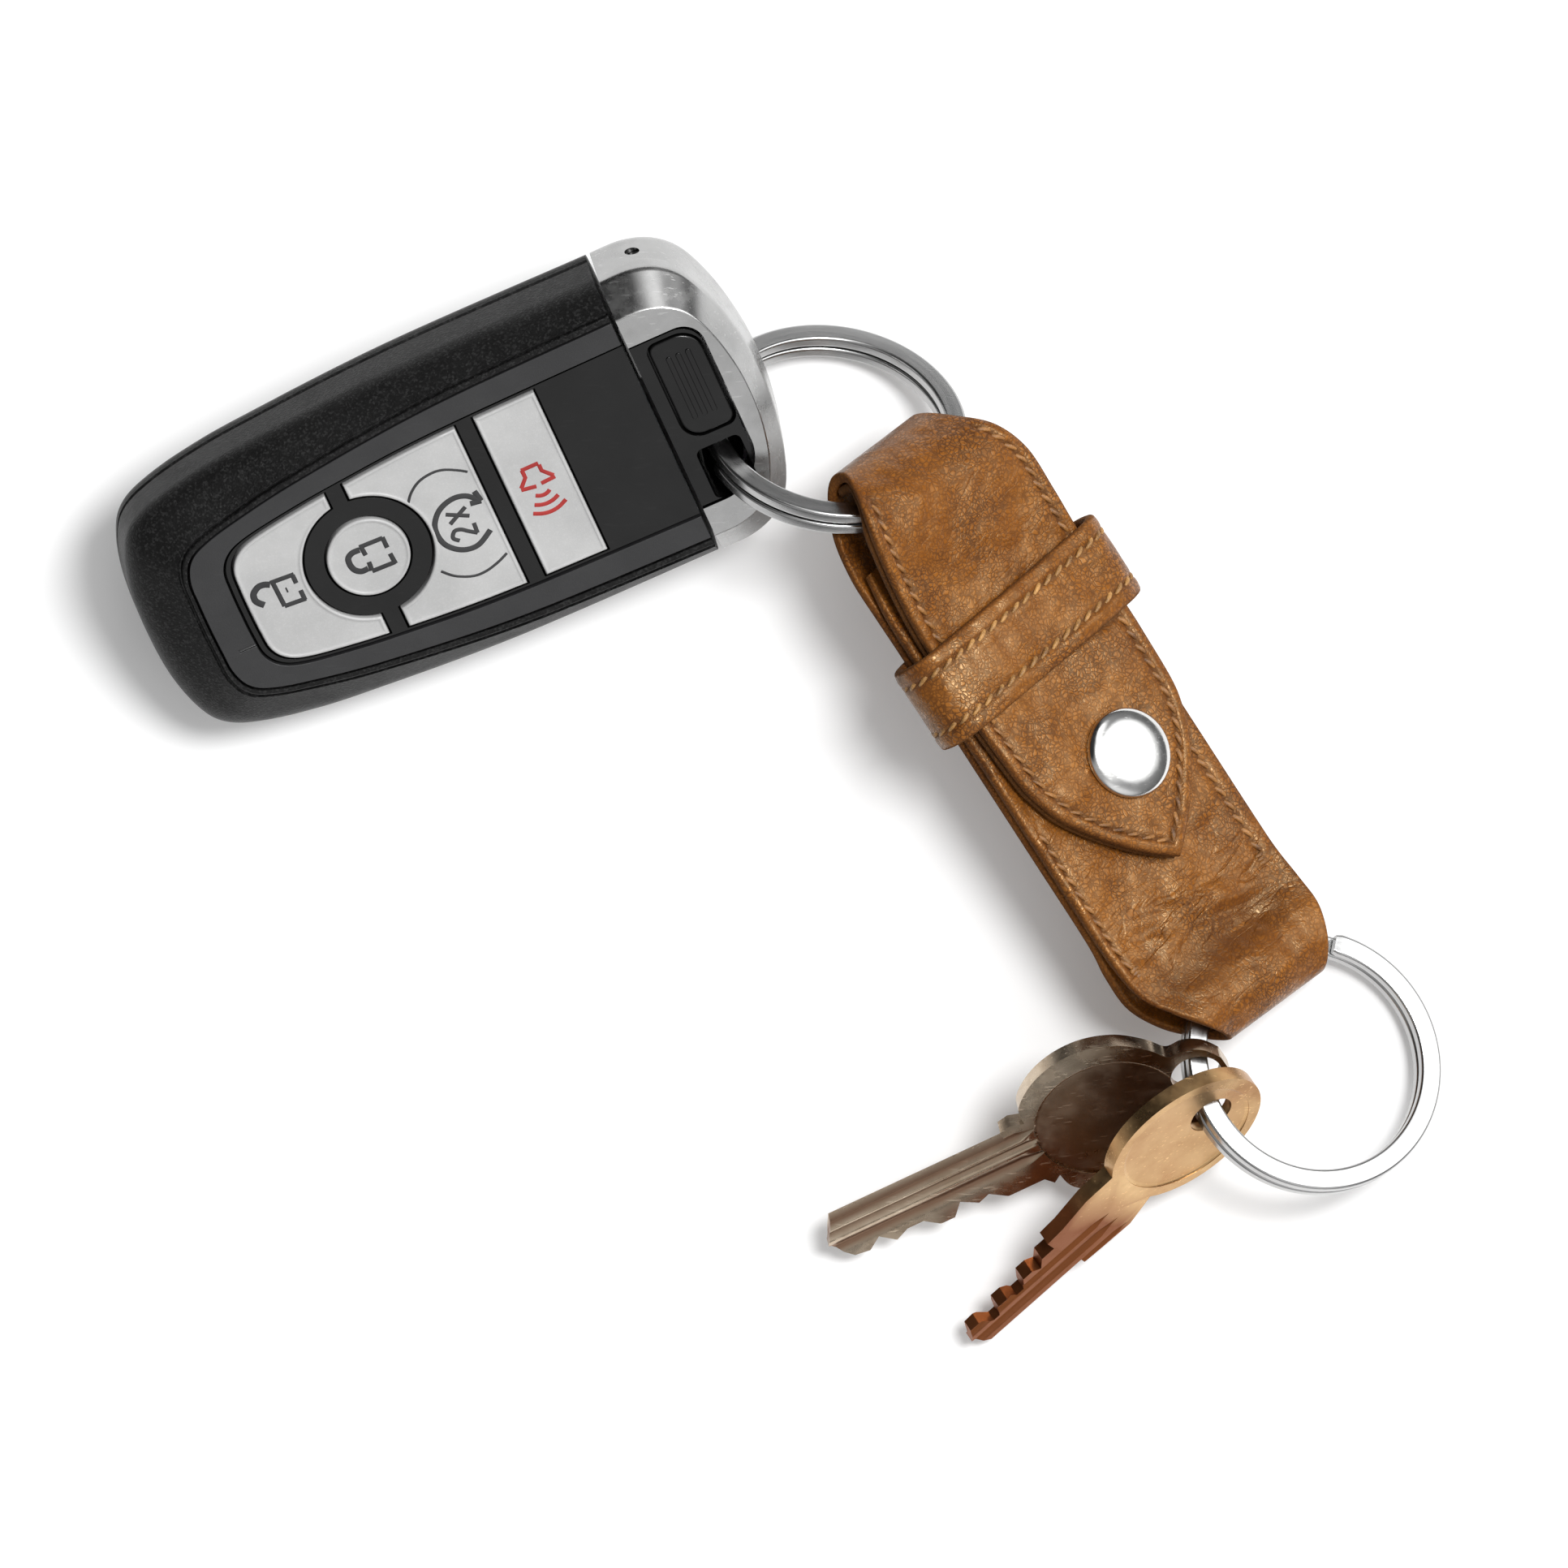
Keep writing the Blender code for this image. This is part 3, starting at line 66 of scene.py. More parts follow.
MM = 0.001
GAP = 0.3 * MM
OVERRUN = 1.0 * MM
HAIR = 0.02 * MM

# Where each assembly lies
REMOTE_AT = (-38.9 * MM, 33.6 * MM, 22.4 * MM)
REMOTE_TURN = (25.1, 0.0, 26.0)
REMOTE_PITCH = -3.2
UPPER_RING_AT = (6.5 * MM, 44.7 * MM, 13.35 * MM)
UPPER_RING_TILT = 44.3
UPPER_RING_LOW_SIDE = 79.3
UPPER_RING_JOINT = 108.0
STRAP_AT = (36.0 * MM, 7.95 * MM, 13.7 * MM)
STRAP_TURN = (-57.0, 5.9, -27.0)
LOWER_RING_AT = (65.55 * MM, -33.4 * MM, 8.85 * MM)
LOWER_RING_TILT = 23.5
LOWER_RING_LOW_SIDE = 39.0
LOWER_RING_JOINT = 94.0
NICKEL_ON_RING = 147.0
NICKEL_TURN = (25.2, -11.0, 43.0)
BRASS_ON_RING = 167.0
BRASS_TURN = (41.8, -13.0, 60.0)

# Remote
BODY_TAIL_X = -42.0 * MM
BODY_END_X = 26.6 * MM
BODY_HALF_WIDTH = 20.3 * MM
FACE_Z = 15.5 * MM
PARTING_Z = 5.1 * MM
SLOPE_FOOT_Z = 11.6 * MM
SLOPE_FOOT_INSET = 0.4 * MM
REAR_HALF_WIDTH = 17.0 * MM
REAR_TAIL_INSET = 2.8 * MM
REAR_ROUNDING = 1.3 * MM
PARTING_LIP = 0.25 * MM
FLOOR_WALL = 1.5 * MM
LEDGE_Z = 13.2 * MM
PANEL_LOW_Z = 13.5 * MM
PANEL_HALF_WIDTH = 16.3 * MM
PANEL_TAIL_X = -34.0 * MM
LEDGE = 2.4 * MM
END_WALL = 2.6 * MM
FIELD_HALF_WIDTH = 12.8 * MM
FIELD_TAIL_X = -29.6 * MM
FRAME_RIM = 0.6 * MM
BAR_WIDTH = 2.0 * MM
LOCK_AT = (-12.6 * MM, 0.3 * MM)
LOCK_RADIUS = 5.5 * MM
LOCK_RING_RADIUS = 7.9 * MM
UNLOCK_BAR_X = -13.0 * MM
START_END_X = 4.0 * MM
ALARM_X = 6.0 * MM
ALARM_END_X = 14.7 * MM
BUTTON_LOW_Z = 13.6 * MM
BUTTON_PROUD = 0.1 * MM
BUTTON_PLANE = (4 * MM) ** 2
MARK_LOW = (-32 * MM, -4.6 * MM)
MARK_HIGH = (-29 * MM, -4.2 * MM)
MARK_DEPTH = 0.3 * MM
BEZEL_SOFT = 0.28 * MM
FRAME_SOFT = 0.18 * MM
HEAD_X = 27.2 * MM
HEAD_LENGTH = 13.8 * MM
HEAD_RIM_INSET = 2.4 * MM
CORE_HALF_WIDTH = 12.0 * MM
CORE_LENGTH = 9.0 * MM
CORE_CORNER = 3.0 * MM
CORE_TOP_Z = 15.3 * MM
RELEASE_AT = (32.4 * MM, 4.1 * MM)
RELEASE_SIZE = (6.4 * MM, 13.6 * MM)
RELEASE_THICKNESS = 2.0 * MM
RELEASE_POCKET_DEPTH = 2.8 * MM
RELEASE_CORNERS = (3.0 * MM, 1.2 * MM, 2.5 * MM, 1.2 * MM)
RELEASE_POCKET_CORNERS = (3.2 * MM, 1.4 * MM, 2.7 * MM, 1.4 * MM)
RELEASE_SOFT = 0.3 * MM
RIB_HALF_WIDTH = 0.35 * MM
RIB_CORNER = 0.34 * MM
RIB_INSET = 2.2 * MM
RIB_ROOT = 0.4 * MM
RIB_PROUD = 0.14 * MM
RIB_SOFT = 0.15 * MM
BLADE_Y = 7.4 * MM
BLADE_Z = 6.9 * MM
BLADE_SLOT = (7.0 * MM, 2.6 * MM)
ROOT_SIZE = (7.3 * MM, 7.0 * MM, 4.4 * MM)
PIN_X = 32.2 * MM
PIN_BORE = 0.9 * MM
PIN_INNER_Y = 7.3 * MM
ICON_PROUD = 0.09
ICON_BOLD = 1.22
ICON_ROW_SHIFT = 5.45
ICON_ROW_SCALE = 0.899
PADLOCK_SHIFT = (-15.44, -4.91)

# Split rings
RING_MID_RADIUS = 15.3 * MM
RING_BAND = 2.6 * MM
RING_WIRE = 1.55 * MM
RING_PITCH = 1.85 * MM
RING_ROUND = 0.38 * MM
RING_STEP = 2.5
RING_RAMP_HALF = 15.0
RING_END_GAP = 2.0
RING_END_SIZE = 0.86

# Leather fob
STRAP_HALF_LENGTH = 41.8 * MM
STRAP_HALF_WIDTH = 14.0 * MM
LEATHER = 1.45 * MM
LINING = 1.2 * MM
PLY_GAP = 0.12 * MM
EDGE_ROUND = 0.5 * MM
FLAP_TOP = 4.93 * MM
FLAP_HALF_WIDTH = 13.25 * MM
FLAP_TIP_U = 20.3 * MM
FLAP_TIP_V = 0.5 * MM
FLAP_HINGE_U = -6.9 * MM
FLAP_SPLIT_U = -10.2 * MM
FLAP_BEND = ("fob", "flap", (-9.6 * MM, 0, FLAP_TOP), (-5.6 * MM, 0, FLAP_TOP))
FLAP_ROW = 1.75 * MM
FLAP_STEPS = 9
# Gentle waves of a face: their size, their height, and how far in from the edge they fade
FLAP_WAVE = (7 * MM, 0.14 * MM, 2.5 * MM)
KEEPER_WAVE = (6 * MM, 0.16 * MM, 2 * MM)
KEEPER_U = -13.7 * MM
KEEPER_WIDTH = 11.3 * MM
KEEPER_THICKNESS = 1.4 * MM
KEEPER_HALF_WIDTH = 17.0 * MM
KEEPER_SLOPE = sin(radians(4.0))
KEEPER_ROW = 2.3 * MM
KEEPER_CORNER = 4.7 * MM
KEEPER_LOW_W = -1.92 * MM
KEEPER_ARCH = (0.40, 0.50)
KEEPER_STEP = 0.8 * MM
BEAD_HEIGHT = 0.10 * MM
GROOVE_DEPTH = 0.26 * MM
GROOVE_HALF = 0.34 * MM
SEAM_HALF = 0.38 * MM
STITCH_PITCH = 2.0 * MM
STITCH_SINK = 0.12 * MM
STITCH_SLANT = 0.16
KNOT_STEP = 0.5 * MM
KNOT_REACH = 1.1 * MM
THREAD = 0.27 * MM
SNAP_AT = (6.1 * MM, 1.9 * MM)
SNAP_RADIUS = 5.65 * MM
SNAP_DOME = 1.5 * MM
SNAP_SHANK = 1.2 * MM
SNAP_SINK = 0.1 * MM
SNAP_DIMPLE = 0.16 * MM

# Keys
KEY_THICKNESS = 2.0 * MM
KEY_EDGE = 0.14 * MM
BOW_DEPTH = 0.3 * MM
BOW_SHOULDER = (0.5 * MM, 0.12 * MM)
# Length, blade height, hole radius, and the hole's place as shares of the first two
NICKEL_SIZE = (55.2 * MM, 8.5 * MM, 3.2 * MM, (0.925, 0.04))
BRASS_SIZE = (48.6 * MM, 7.4 * MM, 2.9 * MM, (0.872, 0.30))
# Sunken middle of each bow: place and radius as shares
NICKEL_DISH = (0.705, 0.0, 0.172)
BRASS_DISH = (0.785, 0.32, 0.183)
# Where the grooves end, then each one's height on the blade, side, width and depth in millimetres
NICKEL_GROOVES = (
    0.56, ((-0.06, 1, 2.0, 0.5), (0.22, 1, 1.2, 0.35), (0.44, 1, 1.6, 0.5), (0.1, -1, 2.2, 0.55))
)
BRASS_GROOVES = (
    0.50, ((-0.16, 1, 1.7, 0.5), (0.16, 1, 1.3, 0.4), (-0.49, 1, 1.0, 0.4), (0.0, -1, 2.0, 0.55))
)
# Stain in a key's hollows and towards its tip
NICKEL_STAIN = (0.9, 0.25)
BRASS_STAIN = (0.42, 1.05)

# Picture
VIEW_WIDTH = 193.2 * MM
VIEW_CENTRE = (0.49 * MM, 0.92 * MM)
VIEW_HEIGHT = 2.6
VIEW_PLANE_Z = 15 * MM
SENSOR = 36.0
FLOOR_LIFT = 0.16
FLOOR_HALF = 0.32
SOFT_BOX_AT = (0.42, 0.30, 1.26)
SOFT_BOX_SIZE = 0.46
SOFT_BOX_POWER = 15.0
DARKEST_TONE = 0.03
# How leather and thread are shaded
SOFT = {"sharp": 60, "flat": False}

# Gutter round the face panel: how far in and how far below the face, in millimetres
GUTTER = ((-0.9, 0.35), (-0.75, 0.62), (-0.55, 0.62), (-0.42, 0.10), (-0.30, 0.0))
# How far a shell or the head starts to turn a corner before and after it, as shares of its sides
SHELL_TURN = (0.30, 0.45)
HEAD_FOOT_TURN = (0.10, 0.10)
HEAD_RIM_TURN = (0.05, 0.18)
# Outlines: share of the length, and share of the half width there
BODY_SHARES = (
    (0.0, 0.0), (0.006, 0.33), (0.028, 0.60), (0.060, 0.745), (0.117, 0.83), (0.204, 0.895),
    (0.32, 0.94), (0.61, 1.0), (1.0, 1.0),
)
PANEL_SHARES = (
    (0.0, 0.0), (0.001, 0.22), (0.004, 0.42), (0.022, 0.575), (0.06, 0.665), (0.14, 0.745),
    (0.30, 0.85), (0.60, 0.965), (1.0, 1.0),
)
FIELD_SHARES = (
    (0.0, 0.0), (0.001, 0.26), (0.006, 0.49), (0.03, 0.645), (0.075, 0.735), (0.17, 0.81), (0.30, 0.88),
    (0.55, 0.965), (1.0, 1.0),
)
HEAD_SHARES = (
    (0.0, 1.0), (0.30, 0.995), (0.56, 0.93), (0.76, 0.79), (0.90, 0.54), (0.98, 0.25), (1.0, 0.0),
)
# Ring's eye through the head, upwards: height, then both ends along and across, as shares
CHANNEL_SHARES = (
    (-0.08, 0.40, 0.94, -0.36, 0.01), (0.04, 0.38, 0.90, -0.36, -0.01),
    (0.35, 0.18, 0.68, -0.38, -0.03), (0.62, 0.13, 0.57, -0.47, -0.10),
    (0.84, 0.14, 0.56, -0.54, -0.18), (1.08, 0.15, 0.58, -0.60, -0.25),
)
# Strap rows: along u, out w in leather thicknesses, twist, left edge, right edge
FRONT_LEAF_SHARES = (
    (-0.718, -1.00, -0.16, -0.93, 0.90), (-0.598, 0.02, -0.06, -0.99, 0.97),
    (-0.467, 0.62, 0.0, -1.0, 1.0), (-0.19, 0.62, 0.0, -1.0, 1.0), (0.24, 0.62, 0.0, -1.0, 1.0),
    (0.53, 0.62, 0.0, -1.0, 1.0), (0.646, 0.78, 0.0, -1.0, 1.0), (0.754, 1.60, 0.0, -0.98, 1.0),
    (0.85, 2.30, 0.0, -0.83, 0.97), (0.94, 2.25, 0.02, -0.62, 0.86),
)
LOWER_FOLD_SHARES = (
    (1.0, 1.0, 0.02, -0.44, 0.78), (1.008, -0.62, 0.0, -0.40, 0.78), (0.971, -2.20, 0.0, -0.50, 0.845),
)
BACK_LEAF_SHARES = (
    (0.897, -2.68, 0.0, -0.72, 0.92), (0.79, -2.40, 0.0, -0.92, 1.0), (0.67, -1.30, 0.0, -1.0, 1.0),
    (0.55, -0.66, 0.0, -1.0, 1.0), (0.24, -0.62, 0.0, -1.0, 1.0), (-0.19, -0.62, 0.0, -1.0, 1.0),
    (-0.467, -0.62, 0.0, -1.0, 1.0), (-0.598, -1.30, -0.06, -1.0, 0.99),
    (-0.730, -2.40, -0.16, -0.99, 0.94), (-0.849, -3.24, -0.22, -0.90, 0.78),
    (-0.945, -2.97, -0.22, -0.75, 0.56),
)
UPPER_FOLD_SHARES = (
    (-0.998, -1.25, -0.20, -0.69, 0.47), (-0.998, 0.85, -0.17, -0.67, 0.47),
    (-0.955, 2.70, -0.14, -0.75, 0.58),
)
FLAP_SHARES = (
    (-0.873, 4.35, -0.10, -0.89, 0.79), (-0.766, 4.25, -0.06, -0.94, 0.92),
    (-0.622, 3.45, -0.02, -0.946, 0.946), (-0.467, 2.90, 0.0, -0.946, 0.946),
    (-0.245, 2.90, 0.0, -0.946, 0.946),
)
# Flap's point: share of its length, and share of the half width there
TIP_SHARES = (
    (0.0, 1.0), (0.31, 0.965), (0.45, 0.90), (0.555, 0.815), (0.69, 0.635), (0.84, 0.375),
    (0.94, 0.155), (1.0, 0.0),
)
# Keys from tip to head: share of the length, and share of the blade's height
NICKEL_TOP_SHARES = (
    (0.0, 0.02), (0.035, 0.43), (0.475, 0.43), (0.478, 0.66), (0.505, 0.70), (0.535, 0.62),
    (0.545, 0.95), (0.60, 1.28), (0.67, 1.46), (0.745, 1.46), (0.815, 1.26), (0.868, 0.90),
    (0.895, 0.62), (0.935, 0.60), (0.972, 0.44), (0.995, 0.16),
)
NICKEL_BITTING_SHARES = (
    (0.04, -0.34), (0.075, -0.38), (0.11, -0.20), (0.14, -0.42), (0.175, -0.30), (0.215, -0.30),
    (0.245, -0.50), (0.28, -0.50), (0.31, -0.26), (0.345, -0.44), (0.375, -0.36), (0.41, -0.57),
    (0.50, -0.57), (0.515, -0.72),
)
BRASS_BITTING_SHARES = (
    (0.0, -0.10), (0.025, 0.18), (0.055, 0.20), (0.085, 0.02), (0.105, 0.02), (0.125, 0.26),
    (0.155, 0.26), (0.175, 0.10), (0.20, 0.10), (0.225, 0.40), (0.255, 0.40), (0.275, 0.28),
    (0.30, 0.50), (0.342, 0.50), (0.345, 0.76), (0.40, 0.80), (0.50, 0.98),
)
NICKEL_BOW_START = 0.53
BRASS_BOW_HALVES = (0.222, 1.36)
BRASS_BOW_ARC = 300
BRASS_FOOT_SHARES = (
    (0.50, -0.60), (0.40, -0.58), (0.345, -0.56), (0.342, -0.48), (0.04, -0.48),
)
# Insets at which leather gets a column of points, from its edge inwards
EDGE_COLUMNS = tuple(MM * d for d in (0, 0.07, 0.2, 0.4, 0.65, 0.9, 1.1, 1.3, 1.5, 1.7, 1.95, 2.3, 2.9))
# How wide the wrinkles of crumpled leather are along the fob, across it and up, and their slant
FOLD_SIZE = (3.0 * MM, 12.0 * MM, 5.0 * MM)
FOLD_HEADING = -46.0


# Assembly frames

def turned(heading, pitch, roll):
    """Rotation of an assembly: roll about its length, then pitch, then heading, in degrees."""
    return (
        Matrix.Rotation(radians(heading), 4, "Z")
        @ Matrix.Rotation(radians(pitch), 4, "Y")
        @ Matrix.Rotation(radians(roll), 4, "X")
    )


def ring_frame(centre, tilt, low_side):
    """Frame of a ring: X runs to its low side, Z is its own axis."""
    heading = Matrix.Rotation(radians(low_side), 4, "Z")
    return Matrix.Translation(centre) @ heading @ Matrix.Rotation(radians(tilt), 4, "Y")


def on_ring(ring, angle):
    turn = radians(angle)
    return ring @ Vector((RING_MID_RADIUS * cos(turn), RING_MID_RADIUS * sin(turn), 0))


REMOTE = (
    Matrix.Translation(REMOTE_AT)
    @ turned(*REMOTE_TURN)
    @ turned(0, REMOTE_PITCH, 0)
    @ Matrix.Translation((0, 0, -FACE_Z))
)
FOB = Matrix.Translation(STRAP_AT) @ turned(*STRAP_TURN)
UPPER_RING = ring_frame(UPPER_RING_AT, UPPER_RING_TILT, UPPER_RING_LOW_SIDE)
LOWER_RING = ring_frame(LOWER_RING_AT, LOWER_RING_TILT, LOWER_RING_LOW_SIDE)
NICKEL = Matrix.Translation(on_ring(LOWER_RING, NICKEL_ON_RING)) @ turned(*NICKEL_TURN)
BRASS = Matrix.Translation(on_ring(LOWER_RING, BRASS_ON_RING)) @ turned(*BRASS_TURN)


# Outlines

def smooth_path(points, steps):
    """Points of a Catmull-Rom curve through rows of any width."""
    path = []
    last = len(points) - 1
    for index in range(last):
        before = points[max(index - 1, 0)]
        start, end = points[index], points[index + 1]
        after = points[min(index + 2, last)]
        for step in range(steps):
            t = step / steps
            row = []
            for a, b, c, d in zip(before, start, end, after):
                slope, bend = c - a, 2 * a - 5 * b + 4 * c - d
                curl = 3 * b - a - 3 * c + d
                row.append(0.5 * (2 * b + slope * t + bend * t * t + curl * t ** 3))
            path.append(tuple(row))
    path.append(tuple(points[-1]))
    return path


def arc(centre, radius, start, end, count):
    """Points along an arc, angles in degrees."""
    turns = [radians(start + (end - start) * i / count) for i in range(count + 1)]
    return [(centre[0] + radius * cos(a), centre[1] + radius * sin(a)) for a in turns]


def circle(centre, radius, count=64):
    return arc(centre, radius, 0, 360, count)[:-1]


def rounded_box(low, high, radii, count=8):
    """Counter-clockwise outline of a rectangle, with a corner radius each from the upper right on."""
    if not isinstance(radii, tuple):
        radii = (radii,) * 4
    signs = ((1, 1), (-1, 1), (-1, -1), (1, -1))
    points = []
    for number, (side_x, side_y) in enumerate(signs):
        radius = radii[number]
        x = (high[0] if side_x > 0 else low[0]) - side_x * radius
        y = (high[1] if side_y > 0 else low[1]) - side_y * radius
        points += arc((x, y), radius, 90 * number, 90 * number + 90, count)
    return points


def mirrored(side):
    """Points of a side carried across the middle line, in the order that goes on round."""
    return [(x, -y) for x, y in reversed(side)]


def body_outline(tail_x, end_x, half_width, shares, steps=8):
    """Outline from the upper end corner round the tail to the lower end corner."""
    upper = [(tail_x + (end_x - tail_x) * t, half_width * w) for t, w in reversed(shares)]
    return smooth_path(upper + mirrored(upper[:-1]), steps)


def half_width_at(outline, x):
    upper = outline[: len(outline) // 2 + 1]
    for (x1, y1), (x2, y2) in zip(upper, upper[1:]):
        if x2 <= x <= x1:
            return y2 + (y1 - y2) * (x - x2) / (x1 - x2) if x1 > x2 else y1
    return upper[0][1] if x > upper[0][0] else 0


def drawn_in(outline, depth):
    """Closed outline moved inwards by a depth, each point along the mean of its edges' normals."""
    count = len(outline)
    area = sum(
        outline[i - 1][0] * outline[i][1] - outline[i][0] * outline[i - 1][1] for i in range(count)
    )
    side = 1 if area > 0 else -1
    moved = []
    for i in range(count):
        (ax, ay), (x, y), (bx, by) = outline[i - 1], outline[i], outline[(i + 1) % count]
        first = Vector((ax - x, ay - y)).normalized()
        second = Vector((bx - x, by - y)).normalized()
        normal = Vector((first.y - second.y, second.x - first.x)).normalized() * side
        cosine = max(0.5, abs(normal.dot(Vector((-second.y, second.x)))))
        moved.append((x + normal.x * depth / cosine, y + normal.y * depth / cosine))
    return untangled(outline, moved)


def meeting_point(a, b, c, d):
    """Where the line through a and b meets the line through c and d, or the middle of b and c."""
    ux, uy, vx, vy = b[0] - a[0], b[1] - a[1], d[0] - c[0], d[1] - c[1]
    cross = ux * vy - uy * vx
    if abs(cross) < 1e-3 * (hypot(ux, uy) * hypot(vx, vy) + 1e-18):
        return ((b[0] + c[0]) / 2, (b[1] + c[1]) / 2)
    share = ((c[0] - a[0]) * vy - (c[1] - a[1]) * vx) / cross
    return (a[0] + ux * share, a[1] + uy * share)


def untangled(outline, moved):
    """Gathers the points of an outline whose edges turned round when it was drawn in."""
    count = len(outline)
    for _ in range(12):
        turned_round = []
        for i in range(count):
            j = (i + 1) % count
            old = (outline[j][0] - outline[i][0], outline[j][1] - outline[i][1])
            new = (moved[j][0] - moved[i][0], moved[j][1] - moved[i][1])
            turned_round.append(old[0] * new[0] + old[1] * new[1] < -1e-16)
        if not any(turned_round) or all(turned_round):
            break
        first = turned_round.index(False)
        i = first
        while i < first + count:
            if not turned_round[i % count]:
                i += 1
                continue
            start = i
            while turned_round[i % count]:
                i += 1
            before, after = (start - 1) % count, (i + 1) % count
            corner = meeting_point(
                moved[before], moved[start % count], moved[i % count], moved[after]
            )
            for k in range(start, i + 1):
                share = (k - start) / (i - start) - 0.5
                end = moved[after] if share > 0 else moved[before]
                pull = abs(share) * 0.02
                moved[k % count] = (
                    corner[0] + (end[0] - corner[0]) * pull,
                    corner[1] + (end[1] - corner[1]) * pull,
                )
    return moved


def raised(outline, z):
    return [Vector((x, y, z)) for x, y in outline]


def between(ring_a, ring_b, t):
    return [a.lerp(b, t) for a, b in zip(ring_a, ring_b)]


def rounded_step(before, corner, after, share_a, share_b, count=6):
    """Rings that turn a corner of a loft softly, from a share of one side to a share of the next."""
    start, end = between(corner, before, share_a), between(corner, after, share_b)
    rings = []
    for i in range(count + 1):
        t = i / count
        first, second = between(start, corner, t), between(corner, end, t)
        rings.append(between(first, second, t))
    return rings


# Meshes

def loft(rings, closed=False, layers=(), values=None):
    """Mesh grown from one closed ring of points to the next, capped or joined to its start."""
    mesh = bmesh.new()
    stores = [mesh.verts.layers.float.new(name) for name in layers]
    ring = [mesh.verts.new(point) for point in rings[0]]
    edges = [mesh.edges.new(pair) for pair in zip(ring, ring[1:] + ring[:1])]
    first = list(edges)
    rows = [ring]
    for points in rings[1:]:
        grown = bmesh.ops.extrude_edge_only(mesh, edges=edges)["geom"]
        fresh = {item for item in grown if isinstance(item, bmesh.types.BMVert)}
        edges = [
            item
            for item in grown
            if isinstance(item, bmesh.types.BMEdge) and set(item.verts) <= fresh
        ]
        ring = [
            next(edge.other_vert(v) for edge in v.link_edges if edge.other_vert(v) in fresh)
            for v in ring
        ]
        for vert, point in zip(ring, points):
            vert.co = point
        rows.append(ring)
    for index, row in enumerate(rows):
        for column, vert in enumerate(row):
            for store, name in zip(stores, layers):
                vert[store] = values[name][index][column]
    if closed:
        bmesh.ops.bridge_loops(mesh, edges=first + edges)
    else:
        mesh.faces.new(rows[0])
        mesh.faces.new(rows[-1])
    bmesh.ops.recalc_face_normals(mesh, faces=mesh.faces)
    return mesh


def slab(outline, low, high):
    """Flat plate with any outline."""
    mesh = bmesh.new()
    face = mesh.faces.new([mesh.verts.new((x, y, low)) for x, y in outline])
    grown = bmesh.ops.extrude_face_region(mesh, geom=[face])["geom"]
    verts = [item for item in grown if isinstance(item, bmesh.types.BMVert)]
    bmesh.ops.translate(mesh, vec=(0, 0, high - low), verts=verts)
    bmesh.ops.recalc_face_normals(mesh, faces=mesh.faces)
    return mesh


def box(low, high):
    outline = ((low[0], low[1]), (high[0], low[1]), (high[0], high[1]), (low[0], high[1]))
    return slab(outline, low[2], high[2])


def lathe(profile, centre, count=96):
    """Round piece from a radius and height profile that starts and ends on its axis."""
    mesh = bmesh.new()
    verts = [mesh.verts.new((centre[0] + radius, centre[1], z)) for radius, z in profile]
    edges = [mesh.edges.new(pair) for pair in zip(verts, verts[1:])]
    bmesh.ops.spin(
        mesh,
        geom=verts + edges,
        cent=(centre[0], centre[1], 0),
        axis=(0, 0, 1),
        angle=2 * pi,
        steps=count,
        use_merge=True,
    )
    bmesh.ops.remove_doubles(mesh, verts=mesh.verts, dist=HAIR / 10)
    bmesh.ops.recalc_face_normals(mesh, faces=mesh.faces)
    return mesh


def add_mesh(mesh, piece):
    """Adds one mesh to another and frees it."""
    data = bpy.data.meshes.new("piece")
    piece.to_mesh(data)
    piece.free()
    mesh.from_mesh(data)
    bpy.data.meshes.remove(data)


def linked(name, data):
    """New object in the scene."""
    obj = bpy.data.objects.new(name, data)
    bpy.context.scene.collection.objects.link(obj)
    return obj


def plain_object(name, mesh):
    data = bpy.data.meshes.new(name)
    mesh.to_mesh(data)
    mesh.free()
    return linked(name, data)


def finished_mesh(obj):
    """Mesh that an object's modifiers or curve make."""
    bpy.context.view_layer.update()
    graph = bpy.context.evaluated_depsgraph_get()
    return bpy.data.meshes.new_from_object(obj.evaluated_get(graph), depsgraph=graph)


def settled(obj):
    """Gives an object the mesh that its modifiers make, and takes the modifiers off."""
    data = finished_mesh(obj)
    old = obj.data
    obj.modifiers.clear()
    obj.data = data
    data.name = obj.name
    bpy.data.meshes.remove(old)
    return obj


def carved(obj, *cutters):
    """Takes cutter meshes out of an object, one after another."""
    for number, mesh in enumerate(cutters):
        cutter = plain_object(f"{obj.name}_cutter_{number}", mesh)
        modifier = obj.modifiers.new("carve", "BOOLEAN")
        modifier.operation = "DIFFERENCE"
        modifier.solver = "MANIFOLD"
        modifier.object = cutter
        settled(obj)
        bpy.data.objects.remove(cutter)
    return obj


def softened(obj, width, segments=3, angle=35):
    """Rounds the sharp edges and keeps the flat faces flat."""
    modifier = obj.modifiers.new("soft_edges", "BEVEL")
    modifier.width = width
    modifier.segments = segments
    modifier.limit_method = "ANGLE"
    modifier.angle_limit = radians(angle)
    modifier.use_clamp_overlap = True
    return settled(obj)


def shown(obj, home, body, slot, nodes=(), material=None, sharp=35, flat=True, plane=0):
    """Carries an object into place, gives it the finish of its slot, hangs it under its body's empty when
    the body is a name, and hides its CAD nodes.
    """
    obj.data.transform(home)
    obj.data.materials.clear()
    obj.data.materials.append(material or MATERIALS[slot])
    obj.data.shade_smooth()
    obj.data.set_sharp_from_angle(angle=radians(sharp))
    for face in obj.data.polygons:
        if plane and face.area > plane:
            face.use_smooth = False
    if flat:
        modifier = obj.modifiers.new("even_shading", "WEIGHTED_NORMAL")
        modifier.keep_sharp = True
    if isinstance(body, str):
        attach(obj, body)
    else:
        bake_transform(obj)
    if nodes:
        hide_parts(*nodes)
    return obj


# Shader nodes

